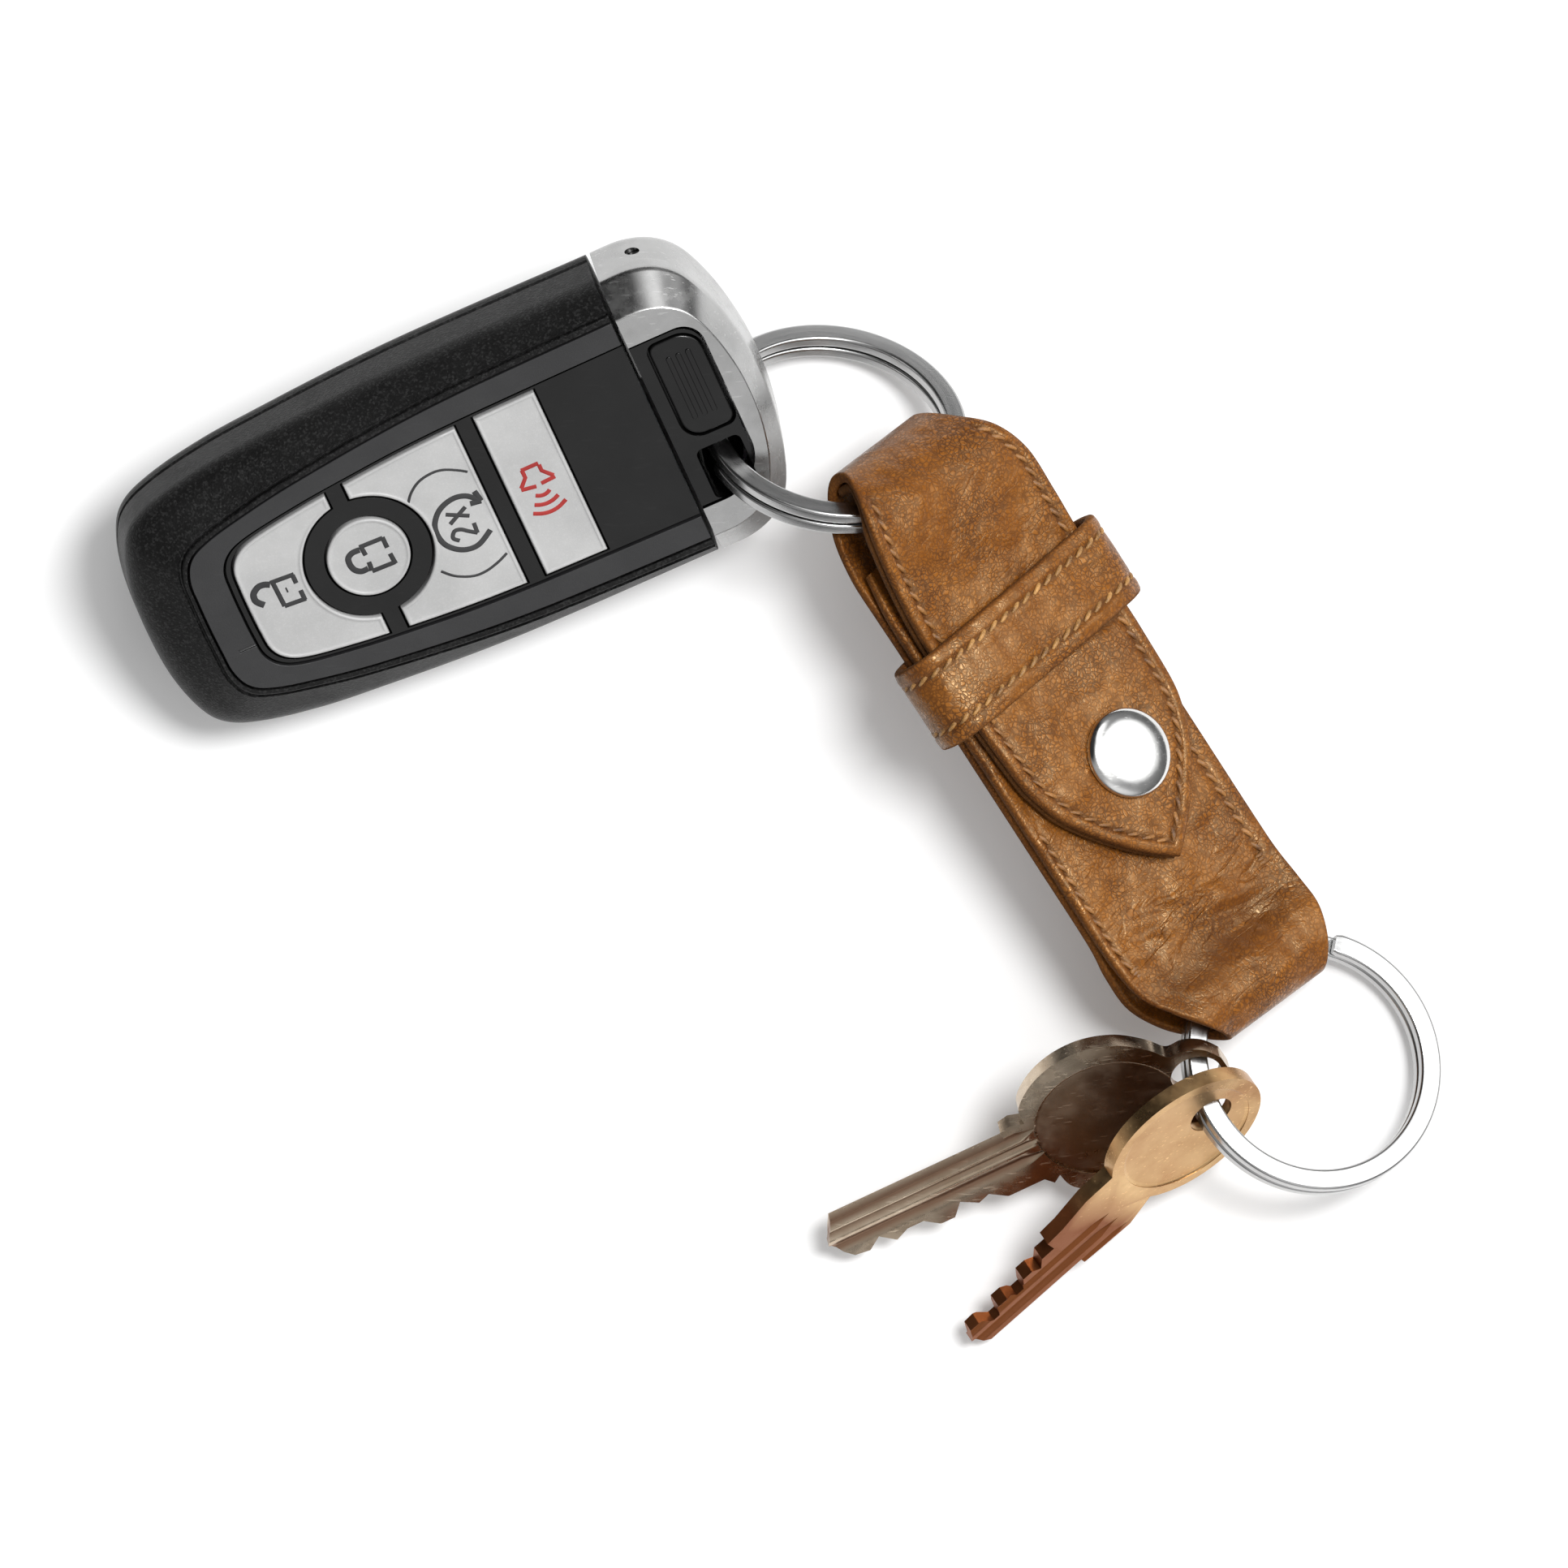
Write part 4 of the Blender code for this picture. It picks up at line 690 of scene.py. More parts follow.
def join(tree, node, inputs):
    """Gives a node's inputs their values, or links them to other nodes' sockets."""
    for name, value in inputs.items():
        if isinstance(value, bpy.types.NodeSocket):
            tree.links.new(value, node.inputs[name])
        else:
            node.inputs[name].default_value = value


def put(tree, kind, inputs=(), **settings):
    """Node with its settings, and inputs that are values or other nodes' sockets."""
    made = tree.nodes.new(kind)
    for name, value in settings.items():
        setattr(made, name, value)
    join(tree, made, dict(inputs))
    return made


def calc(tree, operation, *values, clamp=False):
    inputs = dict(enumerate(values))
    return put(tree, "ShaderNodeMath", inputs, operation=operation, use_clamp=clamp).outputs[0]


def ranged(tree, value, low, high, to_low=0.0, to_high=1.0, soft=False):
    """Value carried from one span to another and held there."""
    inputs = {"Value": value, "From Min": low, "From Max": high, "To Min": to_low, "To Max": to_high}
    kind = "SMOOTHSTEP" if soft else "LINEAR"
    return put(tree, "ShaderNodeMapRange", inputs, interpolation_type=kind).outputs["Result"]


def mixed(tree, share, first, second):
    """Colour between two colours, each a socket or three numbers."""
    first, second = ((*end, 1.0) if isinstance(end, tuple) else end for end in (first, second))
    inputs = {0: share, 6: first, 7: second}
    return put(tree, "ShaderNodeMix", inputs, data_type="RGBA").outputs[2]


def tinted(tree, base, mask, share, colour):
    """Base tone taken towards a colour by a share of a mask."""
    return mixed(tree, calc(tree, "MULTIPLY", mask, share), base, colour)


def mapped(tree, place, rotation, scale, kind):
    inputs = {"Vector": place, "Rotation": rotation, "Scale": scale}
    return put(tree, "ShaderNodeMapping", inputs, vector_type=kind).outputs["Vector"]


def noisy(tree, place, scale, detail=2.0, roughness=0.5, distortion=0.0):
    inputs = {"Vector": place, "Scale": scale, "Detail": detail}
    inputs |= {"Roughness": roughness, "Distortion": distortion}
    return put(tree, "ShaderNodeTexNoise", inputs).outputs["Fac"]


def new_group(name, inputs, outputs):
    """Empty node group: inputs with their values, None for a vector, and outputs that are numbers."""
    tree = bpy.data.node_groups.new(name, "ShaderNodeTree")
    for label, value in inputs:
        kind = "NodeSocketVector" if value is None else "NodeSocketFloat"
        socket = tree.interface.new_socket(label, in_out="INPUT", socket_type=kind)
        if value is not None:
            socket.default_value = value
    for label in outputs:
        tree.interface.new_socket(label, in_out="OUTPUT", socket_type="NodeSocketFloat")
    return tree, tree.nodes.new("NodeGroupInput").outputs, tree.nodes.new("NodeGroupOutput")


def deliver(tree, output, **sockets):
    for name, value in sockets.items():
        tree.links.new(value, output.inputs[name])
    return tree


def make_pebble_group():
    """Leather grain: smooth pebbles with thin valleys, in patches, and slow clouds of tone."""
    inputs = (("Vector", None), ("Pebble", 1700.0))
    tree, given, output = new_group("pebble_grain", inputs, ("Height", "Valley", "Cloud"))
    wobble = {"Vector": given["Vector"], "Scale": 600.0, "Detail": 2.0}
    wobble = put(tree, "ShaderNodeTexNoise", wobble).outputs["Color"]
    offset = put(tree, "ShaderNodeVectorMath", {0: wobble, "Scale": 0.0014}, operation="SCALE")
    ends = {0: given["Vector"], 1: offset.outputs["Vector"]}
    place = put(tree, "ShaderNodeVectorMath", ends, operation="ADD").outputs["Vector"]
    valleys = []
    for factor, width in ((1.0, 0.26), (0.42, 0.12)):
        cells = {"Vector": place, "Scale": calc(tree, "MULTIPLY", given["Pebble"], factor)}
        cells = put(tree, "ShaderNodeTexVoronoi", cells, feature="DISTANCE_TO_EDGE")
        distance = cells.outputs["Distance"]
        valleys.append(ranged(tree, distance, 0.0, width, 1.0, 0.0, soft=True))
    patch = ranged(tree, noisy(tree, given["Vector"], 150.0, 3.0, 0.55), 0.36, 0.62, 0.55, 1.0)
    fine = calc(tree, "MULTIPLY", valleys[0], patch)
    broad = calc(tree, "MULTIPLY", valleys[1], calc(tree, "MULTIPLY", patch, 0.55))
    valley = calc(tree, "MAXIMUM", fine, broad)
    swell = noisy(tree, given["Vector"], 420.0, 3.0, 0.55)
    slack = noisy(tree, given["Vector"], 130.0, 2.0, 0.5)
    height = calc(tree, "MULTIPLY_ADD", swell, 1.8, calc(tree, "MULTIPLY", valley, -0.5))
    height = calc(tree, "MULTIPLY_ADD", slack, 30.0, height)
    slow = noisy(tree, given["Vector"], 95.0, 4.0, 0.62)
    quick = noisy(tree, given["Vector"], 520.0, 4.0, 0.65)
    cloud = calc(tree, "ADD", calc(tree, "MULTIPLY", slow, 0.6), calc(tree, "MULTIPLY", quick, 0.4))
    return deliver(tree, output, Height=height, Valley=valley, Cloud=cloud)


def make_spark_group():
    """Fine moulded or paint grain with a few bright specks, which are painted glints."""
    inputs = (("Vector", None), ("Grain", 4500.0))
    tree, given, output = new_group("fine_grain", inputs, ("Height", "Speck", "Cloud"))
    height = noisy(tree, given["Vector"], given["Grain"], 2.0, 0.7)
    cells = {"Vector": given["Vector"], "Scale": given["Grain"]}
    cells = {"Color": put(tree, "ShaderNodeTexVoronoi", cells).outputs["Color"]}
    # Bright specks: painted glints of light on the grain
    glint = ranged(tree, put(tree, "ShaderNodeSeparateColor", cells).outputs["Red"], 0.62, 1.0)
    cloud = noisy(tree, given["Vector"], 120.0, 4.0, 0.6)
    return deliver(tree, output, Height=height, Speck=glint, Cloud=cloud)


def make_brush_group():
    """Brushed lines along one direction, and broader streaks of tone."""
    inputs = (("Along", 0.0), ("Across", 0.0))
    tree, given, output = new_group("brushed_lines", inputs, ("Height", "Streak"))
    along = calc(tree, "MULTIPLY", given["Along"], 90.0)
    noises = []
    for density, detail, roughness in ((9000.0, 3.0, 0.7), (1400.0, 4.0, 0.6)):
        over = calc(tree, "MULTIPLY", given["Across"], density)
        place = put(tree, "ShaderNodeCombineXYZ", {"X": along, "Y": over}).outputs["Vector"]
        noises.append(noisy(tree, place, 1.0, detail, roughness))
    return deliver(tree, output, Height=noises[0], Streak=noises[1])


def make_wear_group():
    """Scratches and rubbed patches, for metal and hard plastic."""
    inputs = (("Vector", None), ("Amount", 0.5))
    tree, given, output = new_group("wear", inputs, ("Scratch", "Rub"))
    lines = []
    for turn in (0.5, 1.9, 2.7):
        rotation, scale = (turn * 0.7, turn, turn * 1.6), (90.0, 2600.0, 2600.0)
        place = mapped(tree, given["Vector"], rotation, scale, "POINT")
        lines.append(ranged(tree, noisy(tree, place, 1.0, 1.0, 0.5), 0.70, 0.76))
    most = calc(tree, "MAXIMUM", calc(tree, "MAXIMUM", lines[0], lines[1]), lines[2])
    scratch = calc(tree, "MULTIPLY", most, given["Amount"])
    rub = ranged(tree, noisy(tree, given["Vector"], 260.0, 5.0, 0.7), 0.42, 0.68, soft=True)
    return deliver(tree, output, Scratch=scratch, Rub=calc(tree, "MULTIPLY", rub, given["Amount"]))


PEBBLE = make_pebble_group()
SPARK = make_spark_group()
BRUSH = make_brush_group()
WEAR = make_wear_group()


def use(tree, group, **inputs):
    made = tree.nodes.new("ShaderNodeGroup")
    made.node_tree = group
    join(tree, made, inputs)
    return made.outputs


def finish_of(name, roughness, metallic=0.0):
    """New material, its tree, its shader and its place socket."""
    material = bpy.data.materials.new(name)
    material.use_nodes = True
    tree = material.node_tree
    shader = tree.nodes["Principled BSDF"].inputs
    shader["Roughness"].default_value = roughness
    shader["Metallic"].default_value = metallic
    place = tree.nodes.new("ShaderNodeTexCoord").outputs["Object"]
    return material, tree, shader, place


def dressed(tree, shader, tone, rough, height, depth):
    """Links a tone, a roughness and a relief to a shader. Without a roughness it keeps its own."""
    tree.links.new(tone, shader["Base Color"])
    if rough:
        tree.links.new(rough, shader["Roughness"])
    inputs = {"Height": height, "Distance": depth, "Strength": 1.0}
    bump = put(tree, "ShaderNodeBump", inputs).outputs["Normal"]
    tree.links.new(bump, shader["Normal"])


def attribute(tree, name):
    return put(tree, "ShaderNodeAttribute", attribute_name=name).outputs["Fac"]


# Finishes

def plastic(name, dark, light, roughness, grain=4500.0, depth=0.00004, glint=0.0, shine=0.5):
    """Moulded plastic with a fine grain, faint clouds of tone, bright specks that are painted glints, and
    rubbed spots.
    """
    material, tree, shader, place = finish_of(name, roughness)
    shader["Specular IOR Level"].default_value = shine
    grains = use(tree, SPARK, Vector=place, Grain=grain)
    wear = use(tree, WEAR, Vector=place, Amount=0.5)
    base = mixed(tree, ranged(tree, grains["Cloud"], 0.35, 0.65), dark, light)
    # Tone of the bright specks, which are painted glints, and of the lighter scratches
    glint_and_scratch_tone = tuple(min(1.0, channel * 3 + 0.10) for channel in light)
    base = tinted(tree, base, grains["Speck"], glint, glint_and_scratch_tone)
    base = tinted(tree, base, wear["Scratch"], 0.05, glint_and_scratch_tone)
    rough = calc(tree, "MULTIPLY_ADD", wear["Rub"], 0.12, roughness - 0.04)
    dressed(tree, shader, base, rough, grains["Height"], depth)
    return material


def metal(name, dark, light, roughness, depth=0.000004, wear_amount=0.6, stain=None):
    """Worn metal with slow tone changes, scratches and rubbed patches, and stained hollows."""
    material, tree, shader, place = finish_of(name, roughness, 1.0)
    grains = use(tree, SPARK, Vector=place, Grain=3000.0)
    wear = use(tree, WEAR, Vector=place, Amount=wear_amount)
    tone = ranged(tree, grains["Cloud"], 0.32, 0.68)
    base = mixed(tree, tone, dark, light)
    bright = tuple(min(1.0, channel * 1.25) for channel in light)
    base = mixed(tree, wear["Scratch"], base, bright)
    rough = calc(tree, "MULTIPLY_ADD", wear["Rub"], 0.16, roughness - 0.03)
    rough = calc(tree, "MULTIPLY_ADD", wear["Scratch"], 0.10, rough)
    if stain:
        sunk = calc(tree, "MULTIPLY_ADD", grains["Cloud"], 0.5, attribute(tree, "sunk"))
        stained = ranged(tree, sunk, 0.45, 1.05)
        base = mixed(tree, stained, base, stain)
        rough = calc(tree, "MULTIPLY_ADD", stained, 0.14, rough)
    height = calc(tree, "SUBTRACT", calc(tree, "MULTIPLY", grains["Height"], 0.5), wear["Scratch"])
    dressed(tree, shader, base, rough, height, depth)
    return material


def ring_steel(name):
    """Steel with brushed lines that run round the ring, by its wire's own attributes."""
    dark, light = (0.40, 0.40, 0.40), (0.52, 0.52, 0.517)
    material, tree, shader, place = finish_of(name, 0.22, 1.0)
    around, over = attribute(tree, "around"), attribute(tree, "across")
    lines = use(tree, BRUSH, Along=around, Across=over)
    wear = use(tree, WEAR, Vector=place, Amount=0.5)
    base = mixed(tree, ranged(tree, lines["Streak"], 0.3, 0.7), dark, light)
    base = tinted(tree, base, wear["Rub"], 0.25, dark)
    rough = calc(tree, "MULTIPLY_ADD", lines["Streak"], 0.14, 0.16)
    height = calc(tree, "SUBTRACT", lines["Height"], calc(tree, "MULTIPLY", wear["Scratch"], 0.8))
    dressed(tree, shader, base, rough, height, 0.000003)
    return material


def leather(name, dark, mid, light, roughness, pebble):
    """Waxed grained leather with golden shine, painted shade in its grain's valleys, seam grooves and
    creases, crumpled in places.
    """
    material, tree, shader, place = finish_of(name, roughness)
    shader["Specular IOR Level"].default_value = 0.65
    shader["Specular Tint"].default_value = (1.0, 0.75, 0.43, 1.0)
    grains = use(tree, PEBBLE, Vector=place, Pebble=pebble)
    base = mixed(tree, ranged(tree, grains["Cloud"], 0.38, 0.62), mid, light)
    # Grain valleys darkened: painted shade
    base = tinted(tree, base, grains["Valley"], 0.95, dark)
    edge = ranged(tree, attribute(tree, "edge"), 0.0, 0.55, 1.0, 0.0, soft=True)
    seam, crease = attribute(tree, "seam"), attribute(tree, "crease")
    # Darker near the cut edge; darker in the stitch grooves and the creases, which is painted shade
    for mask, share in ((edge, 0.4), (seam, 0.85), (crease, 0.55)):
        base = tinted(tree, base, mask, share, dark)
    rough = calc(tree, "MULTIPLY_ADD", grains["Valley"], 0.20, roughness + 0.04)
    rough = calc(tree, "MULTIPLY_ADD", grains["Cloud"], -0.12, rough)
    rough = calc(tree, "MULTIPLY_ADD", seam, 0.3, rough)
    rough = calc(tree, "MULTIPLY_ADD", edge, 0.75, rough, clamp=True)
    folds = mapped(tree, place, (0, 0, radians(FOLD_HEADING)), FOLD_SIZE, "TEXTURE")
    wave = noisy(tree, folds, 1.0, 3.0, 0.5, 0.5)
    off_line = calc(tree, "ABSOLUTE", calc(tree, "SUBTRACT", wave, 0.5))
    line = ranged(tree, off_line, 0.0, 0.05, -2.4, 0.0, soft=True)
    folds = calc(tree, "MULTIPLY_ADD", wave, 14.0, line)
    height = calc(tree, "MULTIPLY_ADD", folds, attribute(tree, "crumple"), grains["Height"])
    dressed(tree, shader, base, rough, height, 0.00005)
    return material


def thread(name, dark, light):
    """Waxed thread with random tone, darker between its plies where its relief dips: painted shade."""
    material, tree, shader, place = finish_of(name, 0.5)
    fibres = noisy(tree, place, 5200.0, 3.0, 0.6)
    slow = noisy(tree, place, 500.0, 2.0, 0.5)
    # Tone rises with the fibre noise that also makes the relief, so the dips between the plies are darker:
    # painted shade; the slow noise adds random tone
    tone = calc(tree, "MULTIPLY_ADD", slow, 0.6, calc(tree, "MULTIPLY", fibres, 0.5))
    base = mixed(tree, ranged(tree, tone, 0.35, 0.75), dark, light)
    dressed(tree, shader, base, None, fibres, 0.00005)
    return material


def coil_copper(name):
    """Fine copper wire wound across the coil, darker between its windings: painted shade."""
    material, tree, shader, place = finish_of(name, 0.4, 1.0)
    wave = {"Vector": place, "Scale": 1600.0, "Distortion": 0.6, "Detail": 2.0}
    wave = put(tree, "ShaderNodeTexWave", wave, bands_direction="X").outputs["Fac"]
    # Tone follows the same bands as the relief, darker in the dips between windings: painted shade
    base = mixed(tree, wave, (0.34, 0.13, 0.05), (0.78, 0.40, 0.18))
    dressed(tree, shader, base, None, wave, 0.00008)
    return material


# Plastics: dark and light tone, roughness, grain scale and depth, painted glints (bright specks) and shine
PLASTICS = {
    "grained_black_plastic": ((0.003,) * 3, (0.006,) * 3, 0.46, 4200, 0.00008, 0.16, 0.22),
    "satin_black_plastic": ((0.018, 0.018, 0.019), (0.024, 0.024, 0.025), 0.40, 5200, 0.00002, 0.01),
    "gloss_black_plastic": ((0.002,) * 3, (0.004,) * 3, 0.24, 6000, 0.000006, 0.0, 0.36),
    "satin_silver_plastic": ((0.40, 0.40, 0.398), (0.46, 0.46, 0.457), 0.42, 6000, 0.000012, 0.05),
    "keypad_rubber": ((0.02,) * 3, (0.04,) * 3, 0.8),
    "board_laminate": ((0.012, 0.10, 0.045), (0.03, 0.19, 0.08), 0.45),
    "chip_plastic": ((0.02, 0.02, 0.024), (0.04, 0.04, 0.045), 0.5),
    "icon_print": ((0.020, 0.020, 0.021), (0.035, 0.035, 0.036), 0.4, 6000, 0.00001),
    "horn_print": ((0.30, 0.016, 0.014), (0.42, 0.028, 0.022), 0.4, 6000, 0.00001),
}
# Metals: dark and light tone, roughness, relief, wear and stain
METALS = {
    "bright_steel": ((0.55, 0.55, 0.54), (0.70, 0.70, 0.69), 0.28),
    # Nearly black steel for the pin in its hole: painted shade
    "dark_steel": ((0.020,) * 3, (0.045,) * 3, 0.5),
    "brushed_head_steel": ((0.36, 0.36, 0.358), (0.46, 0.46, 0.457), 0.26),
    "snap_nickel": ((0.66, 0.66, 0.655), (0.76, 0.76, 0.75), 0.16),
    "key_nickel": ((0.33, 0.24, 0.16), (0.62, 0.52, 0.40), 0.24, 0.000008, 0.8, (0.26, 0.16, 0.105)),
    "key_brass": ((0.42, 0.22, 0.09), (0.68, 0.45, 0.22), 0.30, 0.000008, 0.8, (0.25, 0.085, 0.030)),
}
# Leathers: dark, middle and light tone, roughness and pebbles to the metre
LEATHERS = {
    "tan_leather": ((0.060, 0.015, 0.002), (0.195, 0.060, 0.007), (0.30, 0.108, 0.017), 0.28, 1700.0),
    "leather_lining": ((0.05, 0.015, 0.003), (0.14, 0.048, 0.009), (0.22, 0.082, 0.018), 0.60, 1900.0),
}

MATERIALS = {"coil_copper": coil_copper("coil_copper"), "ring_steel": ring_steel("ring_steel")}
for maker, table in ((plastic, PLASTICS), (metal, METALS), (leather, LEATHERS)):
    for label, row in table.items():
        MATERIALS[label] = maker(label, *row)
DARK_THREAD = thread("seam_thread", (0.045, 0.014, 0.003), (0.42, 0.185, 0.045))
PALE_THREAD = thread("keeper_thread", (0.06, 0.020, 0.004), (0.56, 0.29, 0.085))


# Remote

def level(z, inset, half_width):
    return raised(body_outline(BODY_TAIL_X + inset, BODY_END_X, half_width, BODY_SHARES), z)


def rear_rows(top):
    """Heights, tail insets and half widths up the rounded rear edge."""
    rows = (
        (0.0, REAR_TAIL_INSET, REAR_HALF_WIDTH),
        (REAR_ROUNDING, REAR_TAIL_INSET / 4, (REAR_HALF_WIDTH + 2 * BODY_HALF_WIDTH) / 3),
        (2.6 * REAR_ROUNDING, 0.0, BODY_HALF_WIDTH),
        (top, 0.0, BODY_HALF_WIDTH),
    )
    return smooth_path(rows, 5)


def cavity_mesh(low, high):
    tail_x, half_width = PANEL_TAIL_X + LEDGE, PANEL_HALF_WIDTH - LEDGE
    return slab(body_outline(tail_x, BODY_END_X - END_WALL, half_width, PANEL_SHARES), low, high)


def make_lower_shell():
    top = PARTING_Z - GAP / 2
    rings = [level(*row) for row in rear_rows(top - PARTING_LIP)]
    rings.append(level(top, PARTING_LIP, BODY_HALF_WIDTH - PARTING_LIP))
    shell = plain_object("remote_lower_shell", loft(rings))
    carved(shell, cavity_mesh(FLOOR_WALL, PARTING_Z + OVERRUN))
    shown(shell, REMOTE, "remote", "grained_black_plastic", ("lower_shell",))


def make_upper_shell():
    low = PARTING_Z + GAP / 2
    foot_half = BODY_HALF_WIDTH - SLOPE_FOOT_INSET
    wall = level(low + PARTING_LIP, 0, BODY_HALF_WIDTH)
    foot = level(SLOPE_FOOT_Z, SLOPE_FOOT_INSET, foot_half)

    def panel(inset, z):
        tail_x, half_width = PANEL_TAIL_X - GAP + inset, PANEL_HALF_WIDTH + GAP - inset
        return raised(body_outline(tail_x, BODY_END_X, half_width, PANEL_SHARES), z)

    gutter = [panel(inset * MM, FACE_Z - fall * MM) for inset, fall in GUTTER]
    rings = [level(low, PARTING_LIP, BODY_HALF_WIDTH - PARTING_LIP), wall]
    rings += rounded_step(wall, foot, gutter[0], *SHELL_TURN) + gutter
    shell = plain_object("remote_upper_shell", loft(rings))
    pocket = body_outline(PANEL_TAIL_X - GAP, BODY_END_X + OVERRUN, PANEL_HALF_WIDTH, PANEL_SHARES)
    half = BLADE_SLOT[0] / 2
    slot_low = (BODY_END_X - END_WALL - OVERRUN, BLADE_Y - half, 0)
    slot = box(slot_low, (BODY_END_X + OVERRUN, BLADE_Y + half, BLADE_Z + BLADE_SLOT[1] / 2))
    carved(shell, cavity_mesh(0, LEDGE_Z + OVERRUN), slab(pocket, LEDGE_Z, FACE_Z + OVERRUN), slot)
    shown(shell, REMOTE, "remote", "grained_black_plastic", ("upper_shell",))


def field_outline(inset):
    """Button field's outline, drawn in by an inset."""
    end_x = BODY_END_X - GAP - inset
    return body_outline(FIELD_TAIL_X + inset, end_x, FIELD_HALF_WIDTH - inset, FIELD_SHARES)


def field_side(field, x, end_x):
    """Upper side of the field between two lines across it, from its end towards its tail."""
    side = [point for point in field if x + HAIR < point[0] < end_x - HAIR and point[1] > 0]
    return [(end_x, half_width_at(field, end_x))] + side + [(x, half_width_at(field, x))]


def ring_cut_angle(x, radius):
    """Angle at which a line across the field meets the lock button's ring."""
    reach = x - LOCK_AT[0]
    return atan2(sqrt(max(radius ** 2 - reach ** 2, 0)), reach) * 180 / pi


def unlock_outline(inset):
    field = field_outline(inset)
    x = UNLOCK_BAR_X - BAR_WIDTH / 2 + FRAME_RIM - inset
    radius = LOCK_RING_RADIUS - FRAME_RIM + inset
    half = half_width_at(field, x)
    turn = ring_cut_angle(x, radius)
    edge = [(x, half)] + [point for point in field if point[0] < x - HAIR] + [(x, -half)]
    return edge + arc(LOCK_AT, radius, 360 - turn, turn, 40)


def start_outline(inset):
    field = field_outline(inset)
    x = UNLOCK_BAR_X + BAR_WIDTH / 2 - FRAME_RIM + inset
    end_x = START_END_X + FRAME_RIM - inset
    radius = LOCK_RING_RADIUS - FRAME_RIM + inset
    turn = ring_cut_angle(x, radius)
    top = field_side(field, x, end_x)
    return top + arc(LOCK_AT, radius, turn, -turn, 40) + mirrored(top)


def alarm_outline(inset):
    field = field_outline(inset)
    x = ALARM_X - FRAME_RIM + inset
    end_x = ALARM_END_X + FRAME_RIM - inset
    top = field_side(field, x, end_x)
    return top + mirrored(top)


def lock_outline(inset):
    return circle(LOCK_AT, LOCK_RADIUS + FRAME_RIM - inset)


BUTTONS = {
    "unlock": unlock_outline,
    "lock": lock_outline,
    "start": start_outline,
    "alarm": alarm_outline,
}


def make_bezel():
    panel = body_outline(PANEL_TAIL_X, BODY_END_X, PANEL_HALF_WIDTH - GAP, PANEL_SHARES)
    window = body_outline(FIELD_TAIL_X - GAP, BODY_END_X + OVERRUN, FIELD_HALF_WIDTH, FIELD_SHARES)
    bezel = plain_object("remote_face_bezel", slab(panel, PANEL_LOW_Z, FACE_Z))
    notch = box((*MARK_LOW, FACE_Z - MARK_DEPTH), (*MARK_HIGH, FACE_Z + OVERRUN))
    carved(bezel, slab(window, 0, FACE_Z + OVERRUN), notch)
    softened(bezel, BEZEL_SOFT)
    shown(bezel, REMOTE, "remote", "satin_black_plastic", ("face_bezel",))


def make_button_frame():
    plate = body_outline(FIELD_TAIL_X, BODY_END_X, FIELD_HALF_WIDTH - GAP, FIELD_SHARES)
    field = plain_object("remote_button_frame", slab(plate, PANEL_LOW_Z, FACE_Z - GAP))
    carved(field, *(slab(outline(FRAME_RIM), 0, FACE_Z + OVERRUN) for outline in BUTTONS.values()))
    softened(field, FRAME_SOFT)
    shown(field, REMOTE, "remote", "gloss_black_plastic", ("button_frame",))


# Lip of a button cap: how far in and how far below its top, in millimetres
LIP_PROFILE = (
    (0.0, 0.28), (0.05, 0.13), (0.14, 0.03), (0.24, 0.0), (0.36, 0.01), (0.44, 0.06), (0.52, 0.10),
    (0.75, 0.10),
)


def make_button(name):
    """Silver cap with a fine raised lip round a very slightly sunken face."""
    top = FACE_Z + BUTTON_PROUD
    outline = BUTTONS[name](FRAME_RIM + GAP)
    rings = [raised(outline, BUTTON_LOW_Z)]
    rings += [raised(drawn_in(outline, inset * MM), top - fall * MM) for inset, fall in LIP_PROFILE]
    cap = plain_object(f"{name}_button_cap", loft(rings))
    body = f"{name}_button"
    shown(cap, REMOTE, body, "satin_silver_plastic", (body,), plane=BUTTON_PLANE)


def stroked(mesh, points, width):
    """Adds a low rounded stroke along a path on the remote's buttons, in millimetres."""
    curve = bpy.data.curves.new("stroke", "CURVE")
    curve.dimensions = "3D"
    curve.bevel_depth = width / 2
    curve.bevel_resolution = 2
    curve.use_fill_caps = True
    line = curve.splines.new("POLY")
    line.points.add(len(points) - 1)
    for knot, (x, y) in zip(line.points, points):
        knot.co = (x, y, 0, 1)
    obj = linked("stroke", curve)
    data = finished_mesh(obj)
    rise = ICON_PROUD / width
    data.transform(Matrix.Translation((0, 0, FACE_Z)) @ Matrix.Diagonal((MM, MM, rise * MM, 1)))
    mesh.from_mesh(data)
    bpy.data.objects.remove(obj)
    bpy.data.curves.remove(curve)
    bpy.data.meshes.remove(data)


def across(y):
    """Remote Y of a height read straight off the tilted face, in millimetres."""
    return (y + ICON_ROW_SHIFT) / ICON_ROW_SCALE


def make_icon(name, strokes, finish, shift=(0.0, 0.0)):
    """Icon of raised printed strokes. Its longer paths are smoothed."""
    mesh = bmesh.new()
    for width, paths in strokes:
        for points in paths:
            placed = [(x + shift[0], across(y + shift[1])) for x, y in points]
            if len(placed) > 4:
                placed = smooth_path(placed, 6)
            stroked(mesh, placed, width * ICON_BOLD)
    bmesh.ops.recalc_face_normals(mesh, faces=mesh.faces)
    icon = plain_object(f"{name}_icon", mesh)
    look = {"material": MATERIALS[finish], "flat": False}
    shown(icon, REMOTE, f"{name}_button", "satin_black_plastic", **look)


